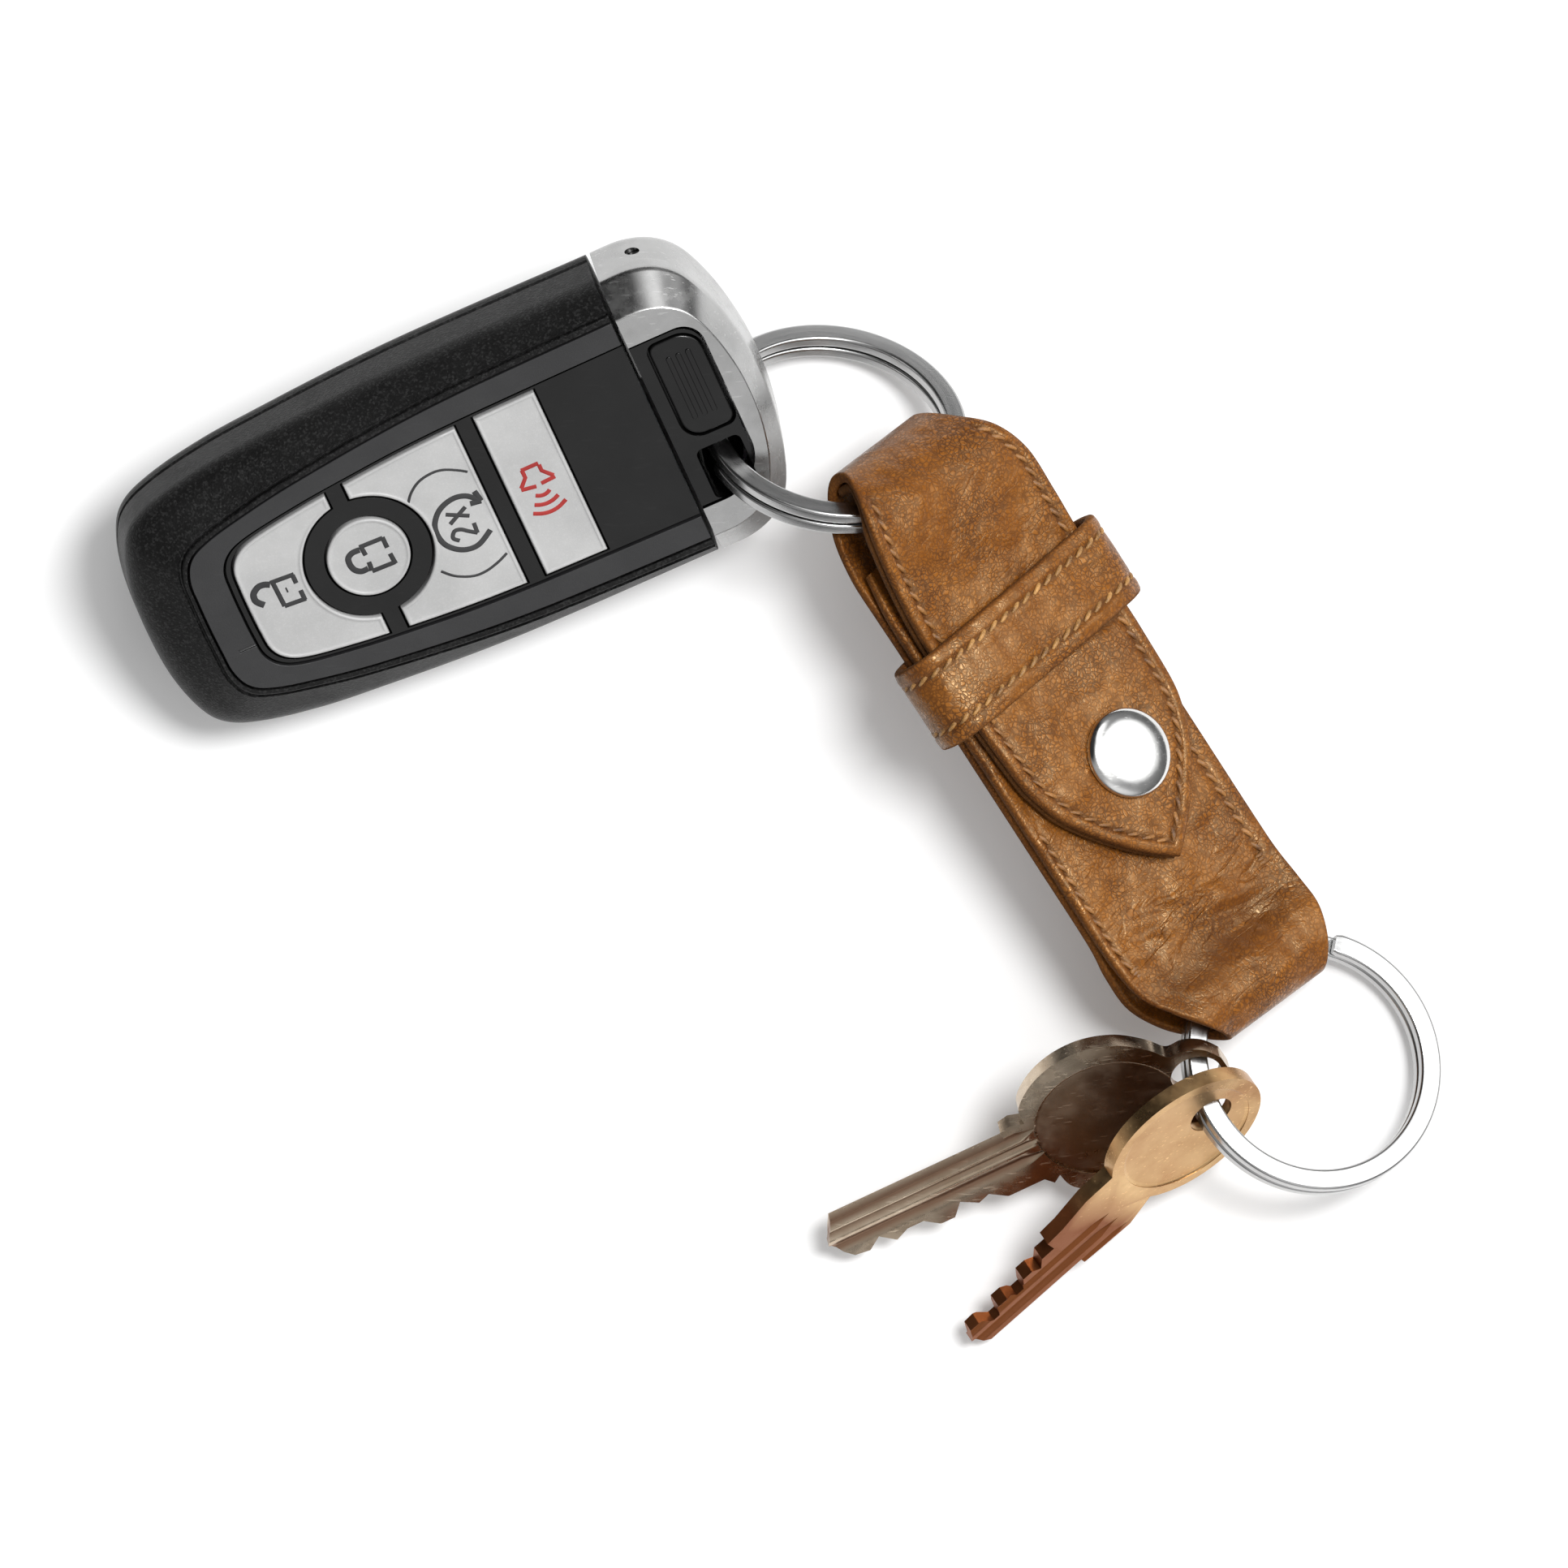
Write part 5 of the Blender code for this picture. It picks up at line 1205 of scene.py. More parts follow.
# Icons: each width with the paths of its strokes, in millimetres, heights as seen on the tilted face
LOCK_BODY = (
    ((2.3, 1.3), (5.4, 1.2)), ((5.4, 1.3), (5.4, -0.1)), ((5.4, -0.9), (5.5, -2.3)),
    ((2.5, -2.0), (5.5, -2.1)), ((2.5, 1.3), (2.6, 0.1)), ((2.6, -0.8), (2.5, -1.9)),
)
LOCK_SHACKLE = ((2.2, 1.0), (1.2, 1.0), (0.5, 0.6), (0.35, -0.2), (0.6, -1.0), (1.3, -1.5), (2.2, -1.5))
LOCK_ICON = ((0.5, LOCK_BODY), (0.65, (LOCK_SHACKLE,)))
UNLOCK_BODY = (
    ((-9.5, 1.7), (-6.4, 1.5)), ((-6.6, 1.5), (-6.6, 0.4)), ((-6.5, -0.6), (-6.5, -1.9)),
    ((-9.1, -1.6), (-6.3, -1.8)), ((-9.2, 1.6), (-9.1, -1.6)),
)
UNLOCK_HOLE = ((-8.1, 0.1), (-7.9, 0.1))
UNLOCK_SHACKLE = (
    (-9.6, 1.5), (-10.3, 1.8), (-11.1, 1.8), (-11.9, 1.3), (-12.1, 0.6), (-11.9, 0.1), (-11.3, -0.5),
)
UNLOCK_ICON = ((0.5, UNLOCK_BODY), (0.6, (UNLOCK_HOLE,)), (0.7, (UNLOCK_SHACKLE,)))
START_LOOP = (
    (2.9, -4.4), (1.4, -3.1), (-0.4, -2.8), (-2.4, -3.5), (-3.7, -5.2), (-3.5, -7.4), (-1.9, -8.9),
    (0.2, -9.2), (2.4, -8.1),
)
START_ARROW = (((1.5, -4.2), (2.9, -4.4)), ((2.6, -3.0), (2.9, -4.4)))
START_FIGURE = (
    ((-1.8, -4.2), (0.8, -5.5)), ((-1.8, -5.5), (0.8, -4.3)),
    ((-1.6, -7.8), (-2.2, -7.2), (-1.7, -6.5), (-0.9, -6.6), (-0.2, -7.1), (0.8, -7.8)),
    ((0.8, -7.8), (0.9, -6.5)),
)
START_WAVES = (
    ((-5.5, -1.3), (-4.5, -0.1), (-3.0, 0.8), (-1.2, 1.1), (0.3, 0.9), (1.8, 0.2), (2.9, -0.5)),
    ((-5.3, -10.3), (-4.0, -11.5), (-2.0, -12.4), (-0.3, -12.5), (1.5, -12.1), (3.0, -11.5)),
)
START_ICON = ((0.6, (START_LOOP, *START_ARROW)), (0.45, START_FIGURE), (0.3, START_WAVES))
HORN = (
    ((8.9, -3.0), (11.2, -3.0)), ((9.0, -3.0), (9.0, -4.0), (8.0, -5.0)),
    ((11.2, -3.2), (11.2, -4.0), (12.3, -5.1)), ((7.9, -5.2), (9.8, -5.5)), ((10.5, -5.4), (12.4, -5.3)),
)
HORN_WAVES = (
    ((9.2, -6.5), (9.7, -6.72), (10.2, -6.8), (10.7, -6.72), (11.1, -6.5)),
    ((8.6, -7.5), (9.4, -7.8), (10.2, -7.9), (11.0, -7.8), (11.8, -7.5)),
    ((8.0, -8.4), (9.1, -8.85), (10.2, -9.0), (11.3, -8.85), (12.4, -8.4)),
)
HORN_ICON = ((0.45, HORN + HORN_WAVES),)


def make_icons():
    make_icon("lock", LOCK_ICON, "icon_print", PADLOCK_SHIFT)
    make_icon("unlock", UNLOCK_ICON, "icon_print", PADLOCK_SHIFT)
    make_icon("start", START_ICON, "icon_print")
    make_icon("alarm", HORN_ICON, "horn_print")


# Pull out head

def head_level(z, end_inset, half_width):
    end_x = HEAD_X + HEAD_LENGTH - end_inset
    upper = [(HEAD_X + (end_x - HEAD_X) * t, half_width * w) for t, w in HEAD_SHARES]
    return raised(smooth_path(upper + mirrored(upper[:-1]), 10), z)


def core_outline(inset, start_x):
    end_x = HEAD_X + CORE_LENGTH - inset
    half, corner = CORE_HALF_WIDTH - inset, CORE_CORNER
    points = [(start_x, -half)]
    points += arc((end_x - 2 * corner, -half + 2 * corner), 2 * corner, -90, 0, 16)
    points += arc((end_x - corner, half - corner), corner, 0, 90, 12)
    return points + [(start_x, half)]


def channel_mesh():
    rings = []
    for height, x1, x2, y1, y2 in CHANNEL_SHARES:
        xs = [HEAD_X + HEAD_LENGTH * share for share in (x1, x2)]
        ys = [BODY_HALF_WIDTH * share for share in (y1, y2)]
        outline = rounded_box((xs[0], ys[0]), (xs[1], ys[1]), RING_BAND / 3, 6)
        rings.append(raised(outline, FACE_Z * height))
    return loft(rings)


def pin_bore_mesh():
    outline = circle((PIN_X, BLADE_Z), PIN_BORE, 32)
    ends = (PIN_INNER_Y, BODY_HALF_WIDTH + OVERRUN)
    return loft([[Vector((x, y, z)) for x, z in outline] for y in ends])


def make_head_frame():
    foot_half = BODY_HALF_WIDTH - SLOPE_FOOT_INSET
    rings = [head_level(z, inset, half) for z, inset, half in rear_rows(PARTING_Z)]
    wall = rings[-1]
    foot = head_level(SLOPE_FOOT_Z, SLOPE_FOOT_INSET, foot_half)
    rim = head_level(FACE_Z, HEAD_RIM_INSET, PANEL_HALF_WIDTH - GAP)
    middle = head_level(FACE_Z, HEAD_RIM_INSET + MM, PANEL_HALF_WIDTH - GAP - MM)
    rings += rounded_step(wall, foot, rim, *HEAD_FOOT_TURN)
    rings += rounded_step(foot, rim, middle, *HEAD_RIM_TURN)
    head = plain_object("head_metal_frame", loft(rings))
    pocket = slab(core_outline(0, HEAD_X - OVERRUN), -OVERRUN, FACE_Z + OVERRUN)
    carved(head, pocket, channel_mesh(), pin_bore_mesh())
    shown(head, REMOTE, "head", "brushed_head_steel", ("head_frame",), sharp=28)


def release_box(gap):
    """Lower and upper corners of the release button, or of its pocket, a gap larger all round."""
    low = tuple(at - size / 2 - gap for at, size in zip(RELEASE_AT, RELEASE_SIZE))
    high = tuple(at + size / 2 + gap for at, size in zip(RELEASE_AT, RELEASE_SIZE))
    return low, high


def make_head_core():
    core = plain_object("head_insert", slab(core_outline(GAP, HEAD_X), GAP, CORE_TOP_Z))
    pocket = rounded_box(*release_box(GAP), RELEASE_POCKET_CORNERS)
    length, width, thick = ROOT_SIZE
    root = box(
        (HEAD_X - OVERRUN, BLADE_Y - width / 2, BLADE_Z - thick / 2),
        (HEAD_X + length, BLADE_Y + width / 2, BLADE_Z + thick / 2),
    )
    pocket_low = CORE_TOP_Z - RELEASE_POCKET_DEPTH
    cutters = (channel_mesh(), slab(pocket, pocket_low, FACE_Z + OVERRUN), root, pin_bore_mesh())
    carved(core, *cutters)
    softened(core, FRAME_SOFT)
    shown(core, REMOTE, "head", "gloss_black_plastic", ("head_core",))


def make_release_button():
    low, high = release_box(0)
    outline = rounded_box(low, high, RELEASE_CORNERS)
    mesh = slab(outline, CORE_TOP_Z - RELEASE_THICKNESS, CORE_TOP_Z)
    button = softened(plain_object("head_release_button", mesh), RELEASE_SOFT)
    ribs = bmesh.new()
    for number in (-1, 0, 1):
        x = RELEASE_AT[0] + number * RELEASE_SIZE[0] / 5
        foot, tip = (x - RIB_HALF_WIDTH, low[1] + RIB_INSET), (x + RIB_HALF_WIDTH, high[1] - RIB_INSET)
        outline = rounded_box(foot, tip, RIB_CORNER, 4)
        add_mesh(ribs, slab(outline, CORE_TOP_Z - RIB_ROOT, CORE_TOP_Z + RIB_PROUD))
    ribs_object = softened(plain_object("head_release_ribs", ribs), RIB_SOFT)
    for piece in (button, ribs_object):
        shown(piece, REMOTE, "release_button", "gloss_black_plastic", ("release_button",))


# Split rings

def make_ring(name, joint, home, body, node):
    """Flat wire wound twice, stepping from one turn to the other at the joint angle."""
    half = (RING_BAND / 2, RING_WIRE / 2)
    section = rounded_box((-half[0], -half[1]), half, RING_ROUND, 5)
    start = RING_RAMP_HALF + RING_END_GAP
    end = 720 - start
    count = round((end - start) / RING_STEP)
    rings, around, across_band = [], [], []
    for i in range(count + 1):
        angle = start + (end - start) * i / count
        share = min(max((angle - 360) / RING_RAMP_HALF, -1), 1)
        rise = RING_PITCH / 2 * sin(share * pi / 2)
        turn = radians(angle + joint)
        size = RING_END_SIZE if i in (0, count) else 1.0
        ring = []
        for x, z in section:
            reach = RING_MID_RADIUS + x * size
            ring.append(Vector((reach * cos(turn), reach * sin(turn), z * size + rise)))
        rings.append(ring)
        around.append([RING_MID_RADIUS * radians(angle)] * len(section))
        across_band.append([x + 0.7 * z for x, z in section])
    values = {"around": around, "across": across_band}
    wire = plain_object(name, loft(rings, layers=("around", "across"), values=values))
    shown(wire, home, body, "ring_steel", (node,))


# Leather

def edge_drop(depth):
    """How far a rounded leather edge falls below its face at a depth in from the edge."""
    if depth >= EDGE_ROUND:
        return 0
    return EDGE_ROUND - sqrt(EDGE_ROUND ** 2 - (EDGE_ROUND - depth) ** 2)


def bump_at(distance, width):
    return exp(-((distance / width) ** 2))


def seam_relief(depth, inset):
    """Rise of a face near its stitched edge: a bead outside the seam and a groove under it."""
    bead = BEAD_HEIGHT * bump_at(depth - inset * 0.55, inset * 0.28)
    groove = GROOVE_DEPTH * bump_at(depth - inset, GROOVE_HALF)
    return bead - groove


LEATHER_LAYERS = ("edge", "seam", "crease", "crumple")
LINED_PATH = UPPER_FOLD_SHARES + FLAP_SHARES
STRAP_PATH = FRONT_LEAF_SHARES + LOWER_FOLD_SHARES + BACK_LEAF_SHARES + LINED_PATH
# Shares of the strap's path where the front leaf's seams and creases end, and the flap's seams start
FRONT_SEAM_END = 0.36
CREASE_END = 0.34
ROOT_SEAM_START = 0.86


class Sheet:
    """Rings of points for a leather piece, with how near each lies to an edge, seam or crease."""

    def __init__(self):
        self.rings = []
        self.values = {name: [] for name in LEATHER_LAYERS}

    def start_ring(self):
        self.rings.append([])
        for rows in self.values.values():
            rows.append([])

    def add(self, point, edge, seam=0.0, crease=0.0, crumple=0.0):
        self.rings[-1].append(Vector(point))
        for name, value in zip(LEATHER_LAYERS, (edge / MM, seam, crease, crumple)):
            self.values[name][-1].append(value)

    def built(self, name, closed=False):
        mesh = loft(self.rings, closed, LEATHER_LAYERS, self.values)
        return plain_object(name, mesh)


# Creases across the lower end of the front leaf: middle u and v, slant, length, width and depth
CREASES = (
    (25.5, 2.0, -0.25, 13.0, 0.8, 0.22), (27.5, -3.0, -0.32, 12.0, 0.8, 0.26),
    (29.6, 4.0, -0.20, 12.0, 0.9, 0.30), (23.5, -5.0, -0.30, 8.0, 0.7, 0.16),
    (32.6, -1.0, 0.10, 22.0, 3.2, 1.15), (31.5, 2.0, -0.12, 10.0, 1.4, 0.35),
    (37.5, 6.0, 0.10, 9.0, 0.9, 0.18),
)
# Where leather is crumpled: middle u and v, half sizes and amount
CRUMPLES = (
    (26.5, 1.0, 6.0, 15.0, 0.85), (38.0, 2.0, 4.0, 12.0, 0.25), (-28.0, 2.0, 10.0, 12.0, 0.25),
    (12.0, -12.0, 12.0, 4.0, 0.3),
)


def crease_at(u, v):
    """How deep the creases are at a place on the front leaf, in millimetres."""
    u, v = u / MM, v / MM
    depth = 0
    for at_u, at_v, slant, length, width, deep in CREASES:
        size = hypot(1, slant)
        along = ((v - at_v) - slant * (u - at_u)) / size
        off = ((u - at_u) + slant * (v - at_v)) / size
        depth += deep * exp(-((off / width) ** 2) - (along / length * 1.6) ** 4)
    return depth


def crumple_at(u, v):
    amount = 0.05
    for at_u, at_v, half_u, half_v, share in CRUMPLES:
        amount += share * exp(-(((u / MM - at_u) / half_u) ** 2) - ((v / MM - at_v) / half_v) ** 2)
    return min(1.0, amount)


def front_seams(u):
    """Insets of the stitched rows on the left and right of the front leaf at u, or none."""
    left = 1.4 * MM if 8 * MM < u < 29 * MM else None
    right = 2.3 * MM if 10 * MM < u < 26.5 * MM else None
    return left, right


def columns_across(left, right, count):
    """Places across a strip from left to right, dense near both edges."""
    inner_left, inner_right = left + EDGE_COLUMNS[-1], right - EDGE_COLUMNS[-1]
    middle = [inner_left + (inner_right - inner_left) * i / count for i in range(1, count)]
    return [left + d for d in EDGE_COLUMNS] + middle + [right - d for d in reversed(EDGE_COLUMNS)]


def lie_of(rows, index):
    """Outward direction of a strip's face at a row, in u and w."""
    before, after = rows[max(index - 1, 0)], rows[min(index + 1, len(rows) - 1)]
    du = (after[0] - before[0]) * STRAP_HALF_LENGTH
    dw = (after[1] - before[1]) * LEATHER
    size = hypot(du, dw)
    return -dw / size, du / size


def strip_sheet(shares, offset, thickness, seams, creased=False, steps=14):
    """Leather strip along a path, with rounded edges, seam grooves and creases on its face."""
    rows = smooth_path(shares, steps)
    sheet = Sheet()
    for index, row in enumerate(rows):
        out_u, out_w = lie_of(rows, index)
        u, w, twist = row[0] * STRAP_HALF_LENGTH, row[1] * LEATHER, row[2]
        left, right = row[3] * STRAP_HALF_WIDTH, row[4] * STRAP_HALF_WIDTH
        share = index / (len(rows) - 1)
        columns = columns_across(left, right, 32)
        sheet.start_ring()
        for side in (1, -1):
            for v in columns if side > 0 else reversed(columns):
                near_left, near_right = v - left, right - v
                depth = min(near_left, near_right)
                inset = seams(share, u)[0 if near_left < near_right else 1]
                rise = thickness / 2 - edge_drop(depth)
                seam = crease = 0.0
                if side > 0 and inset:
                    rise += seam_relief(depth, inset)
                    seam = bump_at(depth - inset, SEAM_HALF)
                if side > 0 and creased and share < CREASE_END:
                    crease = crease_at(u, v)
                    rise -= crease * MM
                reach = offset + side * rise
                place = (u + reach * out_u, v, w + reach * out_w + twist * v)
                crumple = crumple_at(u, v) if side > 0 and creased else 0.05
                sheet.add(place, depth, seam, min(1.0, crease * 0.8), crumple)
    return sheet


def strap_seams(share, u):
    if share > ROOT_SEAM_START:
        return FLAP_ROW, FLAP_ROW
    if share < FRONT_SEAM_END:
        return front_seams(u)
    return None, None


def no_seams(share, u):
    return None, None


def make_strap():
    sheet = strip_sheet(STRAP_PATH, 0, LEATHER, strap_seams, creased=True)
    strap = sheet.built("fob_strap")
    shown(strap, FOB, "fob", "tan_leather", ("strap_leather",), **SOFT)
    offset = -LEATHER / 2 - PLY_GAP - LINING / 2
    lining = strip_sheet(LINED_PATH, offset, LINING, no_seams).built("fob_flap_root_lining")
    shown(lining, FOB, "fob", "leather_lining", ("flap_lining",), **SOFT)


def flap_outline():
    """Flap's outline from the seam under the keeper round the point and back."""
    start_u = FLAP_HINGE_U + GAP
    length = FLAP_TIP_U - start_u
    run = start_u - FLAP_SPLIT_U
    steps = range(FLAP_STEPS)
    rows = [(FLAP_SPLIT_U + run * i / FLAP_STEPS, 0.0, FLAP_HALF_WIDTH) for i in steps]
    for t, w in smooth_path(TIP_SHARES, FLAP_STEPS):
        rows.append((start_u + length * t, FLAP_TIP_V * t, FLAP_HALF_WIDTH * w))
    right = [(u, v + w) for u, v, w in rows]
    left = [(u, v - w) for u, v, w in rows[:-1]]
    count = 2 * FLAP_STEPS
    width = 2 * FLAP_HALF_WIDTH
    seam = [(FLAP_SPLIT_U, -FLAP_HALF_WIDTH + width * i / count) for i in range(1, count)]
    return right + left[::-1] + seam


def flap_swell(u, v):
    """Gentle waves of the flap's face, and the dimple that the snap presses into it."""
    reach = hypot(u - SNAP_AT[0], v - SNAP_AT[1])
    dimple = SNAP_DIMPLE * bump_at(reach - SNAP_RADIUS * 0.4, SNAP_RADIUS * 0.85)
    size, height, _ = FLAP_WAVE
    return noise.noise(Vector((u / size, v / size, 0))) * height - dimple


def make_flap_ply(name, top, thickness, slot, node, stitched):
    """One ply of the flap, made of outlines drawn in from its edge to its middle line."""
    outline = flap_outline()
    spine_end = FLAP_TIP_U - FLAP_HALF_WIDTH * 0.75
    inner = drawn_in(outline, EDGE_COLUMNS[-1])
    spine_start = FLAP_SPLIT_U + EDGE_COLUMNS[-1]
    spine = [(min(max(u, spine_start), spine_end), FLAP_TIP_V * 0.5) for u, _ in inner]
    shares = (0.12, 0.26, 0.42, 0.58, 0.74, 0.88, 0.97)
    face = [(drawn_in(outline, d), d) for d in EDGE_COLUMNS]
    for share in shares:
        pairs = zip(inner, spine)
        loop = [(a[0] + (b[0] - a[0]) * share, a[1] + (b[1] - a[1]) * share) for a, b in pairs]
        face.append((loop, EDGE_COLUMNS[-1] + share * FLAP_HALF_WIDTH))
    sheet = Sheet()
    for side in (1, -1):
        for loop, depth in reversed(face) if side > 0 else face:
            sheet.start_ring()
            for u, v in loop:
                rise = thickness / 2 - edge_drop(depth)
                seam = 0.0
                if side > 0 and stitched:
                    rise += seam_relief(depth, FLAP_ROW)
                    seam = bump_at(depth - FLAP_ROW, SEAM_HALF)
                    rise += flap_swell(u, v) * min(1.0, depth / FLAP_WAVE[2])
                sheet.add((u, v, top - thickness / 2 + side * rise), depth, seam, 0.0, 0.08)
    ply = sheet.built(name)
    shown(ply, FOB, FLAP_BEND, slot, (node,), **SOFT)


def stitch(mesh, start, end, up):
    """Adds one twisted stitch that rises from its first hole and dips into its second."""
    along = (end - start).normalized()
    side = up.cross(along).normalized()
    rings = []
    for step in range(7):
        t = step / 6
        swell = sin(pi * (0.08 + 0.84 * t)) ** 0.5
        centre = start.lerp(end, t) + up * (THREAD * 1.25 * swell - THREAD * 0.9)
        ring = []
        for corner in range(8):
            turn = 2 * pi * corner / 8
            lobe = 1 + 0.16 * cos(2 * turn - 3.4 * t)
            reach = THREAD * (0.45 + 0.55 * swell) * lobe
            ring.append(centre + side * (reach * cos(turn) * 1.05) + up * (reach * sin(turn) * 0.85))
        rings.append(ring)
    add_mesh(mesh, loft(rings))


def stitch_along(mesh, path):
    """Stitches at an even pitch along a path of points and their outward directions."""
    lengths = [0.0]
    for (a, _), (b, _) in zip(path, path[1:]):
        lengths.append(lengths[-1] + (b - a).length)
    count = max(1, round(lengths[-1] / STITCH_PITCH))
    pitch = lengths[-1] / count

    def at(distance):
        for i in range(len(path) - 1):
            if distance <= lengths[i + 1] or i == len(path) - 2:
                share = (distance - lengths[i]) / max(lengths[i + 1] - lengths[i], HAIR)
                return path[i][0].lerp(path[i + 1][0], share), path[i][1]

    for number in range(count):
        middle = (number + 0.5) * pitch
        start, up = at(middle - pitch * 0.40)
        end, _ = at(middle + pitch * 0.40)
        side = up.cross((end - start).normalized())
        lean = side * (STITCH_SLANT * pitch)
        stitch(mesh, start - lean, end + lean, up)


def seam_line(side, first, last):
    """Path of a stitched row on the strap's outer face, between two shares of its run."""
    rows = smooth_path(STRAP_PATH, 8)
    path = []
    for index, row in enumerate(rows):
        share = index / (len(rows) - 1)
        u, w, twist = row[0] * STRAP_HALF_LENGTH, row[1] * LEATHER, row[2]
        inset = strap_seams(share, u)[side]
        if not first <= share <= last or not inset:
            continue
        out_u, out_w = lie_of(rows, index)
        edge = row[3] * STRAP_HALF_WIDTH + inset if side == 0 else row[4] * STRAP_HALF_WIDTH - inset
        reach = LEATHER / 2 - STITCH_SINK
        point = Vector((u + reach * out_u, edge, w + reach * out_w + twist * edge))
        path.append((point, Vector((out_u, 0, out_w))))
    return path


def make_strap_stitches():
    mesh = bmesh.new()
    for side in (0, 1):
        front = seam_line(side, 0.0, FRONT_SEAM_END)
        stitch_along(mesh, front)
        bar_at, up = front[-1]
        for number in range(3):
            step = Vector((KNOT_STEP * number, 0, 0))
            lean = Vector((0, (1 - 2 * side) * KNOT_REACH, 0))
            stitch(mesh, bar_at + step - lean * 0.2, bar_at + step + lean, up)
        stitch_along(mesh, seam_line(side, ROOT_SEAM_START, 1.0))
    rows = plain_object("fob_stitches", mesh)
    shown(rows, FOB, "fob", "tan_leather", ("strap_leather",), DARK_THREAD, **SOFT)


def make_flap_stitches():
    outline = drawn_in(flap_outline(), FLAP_ROW)
    sides = 2 * FLAP_STEPS * len(TIP_SHARES) + 1
    row = outline[1 : sides - 1]
    up = Vector((0, 0, 1))
    path = [(Vector((u, v, FLAP_TOP - STITCH_SINK)), up) for u, v in row]
    mesh = bmesh.new()
    stitch_along(mesh, path)
    seam = plain_object("flap_stitches", mesh)
    shown(seam, FOB, FLAP_BEND, "tan_leather", ("flap_tip_leather",), DARK_THREAD, **SOFT)


def keeper_path():
    """Middle line of the keeper's wall round the fob, with the outward direction, in v and w."""
    low, high = KEEPER_LOW_W, FLAP_TOP + GAP
    outer = KEEPER_HALF_WIDTH - KEEPER_THICKNESS / 2
    thick = KEEPER_THICKNESS / 2
    corner = KEEPER_CORNER - thick
    outline = rounded_box((-outer, low - thick), (outer, high + thick), corner, 10)
    dense = []
    for (ax, ay), (bx, by) in zip(outline, outline[1:] + outline[:1]):
        count = max(1, round(hypot(bx - ax, by - ay) / KEEPER_STEP))
        dense += [(ax + (bx - ax) * i / count, ay + (by - ay) * i / count) for i in range(count)]
    path = []
    for i, (x, y) in enumerate(dense):
        (ax, ay), (bx, by) = dense[i - 1], dense[(i + 1) % len(dense)]
        size = hypot(bx - ax, by - ay)
        path.append((x, y + keeper_arch(x, y), (by - ay) / size, (ax - bx) / size))
    return path


def keeper_arch(v, w):
    """Slight arch of the keeper's upper side over the flap."""
    flat_half = KEEPER_HALF_WIDTH - KEEPER_CORNER
    rise, fall = KEEPER_ARCH
    return MM * (rise - fall * min(1.0, (v / flat_half) ** 2)) if w > 0 else 0.0


def make_keeper():
    half = KEEPER_WIDTH / 2
    columns = columns_across(-half, half, 12)
    size, height, fade = KEEPER_WAVE
    sheet = Sheet()
    for v, w, out_v, out_w in keeper_path():
        sheet.start_ring()
        for side in (1, -1):
            for du in columns if side > 0 else reversed(columns):
                depth = half - abs(du)
                rise = KEEPER_THICKNESS / 2 - edge_drop(depth)
                seam = 0.0
                if side > 0:
                    rise += seam_relief(depth, KEEPER_ROW)
                    wave = noise.noise(Vector((du, v, w)) / size)
                    rise += height * wave * min(1.0, depth / fade)
                    seam = bump_at(depth - KEEPER_ROW, SEAM_HALF)
                u = KEEPER_U + du - KEEPER_SLOPE * v
                point = (u, v + side * rise * out_v, w + side * rise * out_w)
                sheet.add(point, depth, seam, 0.0, 0.10)
    band = sheet.built("fob_keeper", closed=True)
    shown(band, FOB, "keeper", "tan_leather", ("keeper_loop",), **SOFT)


def make_keeper_stitches():
    mesh = bmesh.new()
    reach = KEEPER_THICKNESS / 2 - STITCH_SINK
    for side in (-1, 1):
        path = []
        for v, w, out_v, out_w in keeper_path():
            u = KEEPER_U + side * (KEEPER_WIDTH / 2 - KEEPER_ROW) - KEEPER_SLOPE * v
            point = Vector((u, v + reach * out_v, w + reach * out_w))
            path.append((point, Vector((0, out_v, out_w))))
        stitch_along(mesh, path + path[:1])
    seams = plain_object("keeper_stitches", mesh)
    shown(seams, FOB, "keeper", "tan_leather", ("keeper_loop",), PALE_THREAD, **SOFT)


# Snap cap from its rim to its crown: radius and height as shares
SNAP_SHARES = (
    (0.95, 0.0), (0.99, 0.10), (1.0, 0.26), (0.99, 0.42), (0.955, 0.56), (0.88, 0.70), (0.74, 0.83),
    (0.56, 0.92), (0.36, 0.975), (0.16, 0.995), (0.0, 1.0),
)


def make_snap_cap():
    """Full domed cap, plain on top, and its shank down through the flap."""
    foot = FLAP_TOP - SNAP_SINK
    rise = GAP + SNAP_DOME + SNAP_SINK
    profile = [(0, FLAP_TOP - LEATHER), (SNAP_SHANK, FLAP_TOP - LEATHER), (SNAP_SHANK, foot)]
    rows = smooth_path(SNAP_SHARES, 4)
    profile += [(max(SNAP_RADIUS * r, 0), foot + rise * z) for r, z in rows]
    cap = plain_object("snap_domed_cap", lathe(profile, SNAP_AT))
    shown(cap, FOB, "flap", "snap_nickel", ("snap_cap",), sharp=40, flat=False)


# Keys

def key_line(points, length, blade, hole):
    """Outline measured from the hole's centre."""
    return [(length * (x - hole[0]), blade * (y - hole[1])) for x, y in points]


def milled_groove(start, end, y, width, top, floor):
    """Cutter for a groove along a blade, with sloping sides, that runs out at its end."""
    rings = []
    for x, share in ((start, 1.0), (end - 2 * width, 1.0), (end, 0.05)):
        low = top + (floor - top) * share
        over = top + (top - floor) * 0.5
        half = width / 2 * share
        section = ((-1.5 * half, over), (-0.25 * half, low), (0.25 * half, low), (1.5 * half, over))
        rings.append([Vector((x, y + step, z)) for step, z in section])
    return loft(rings)


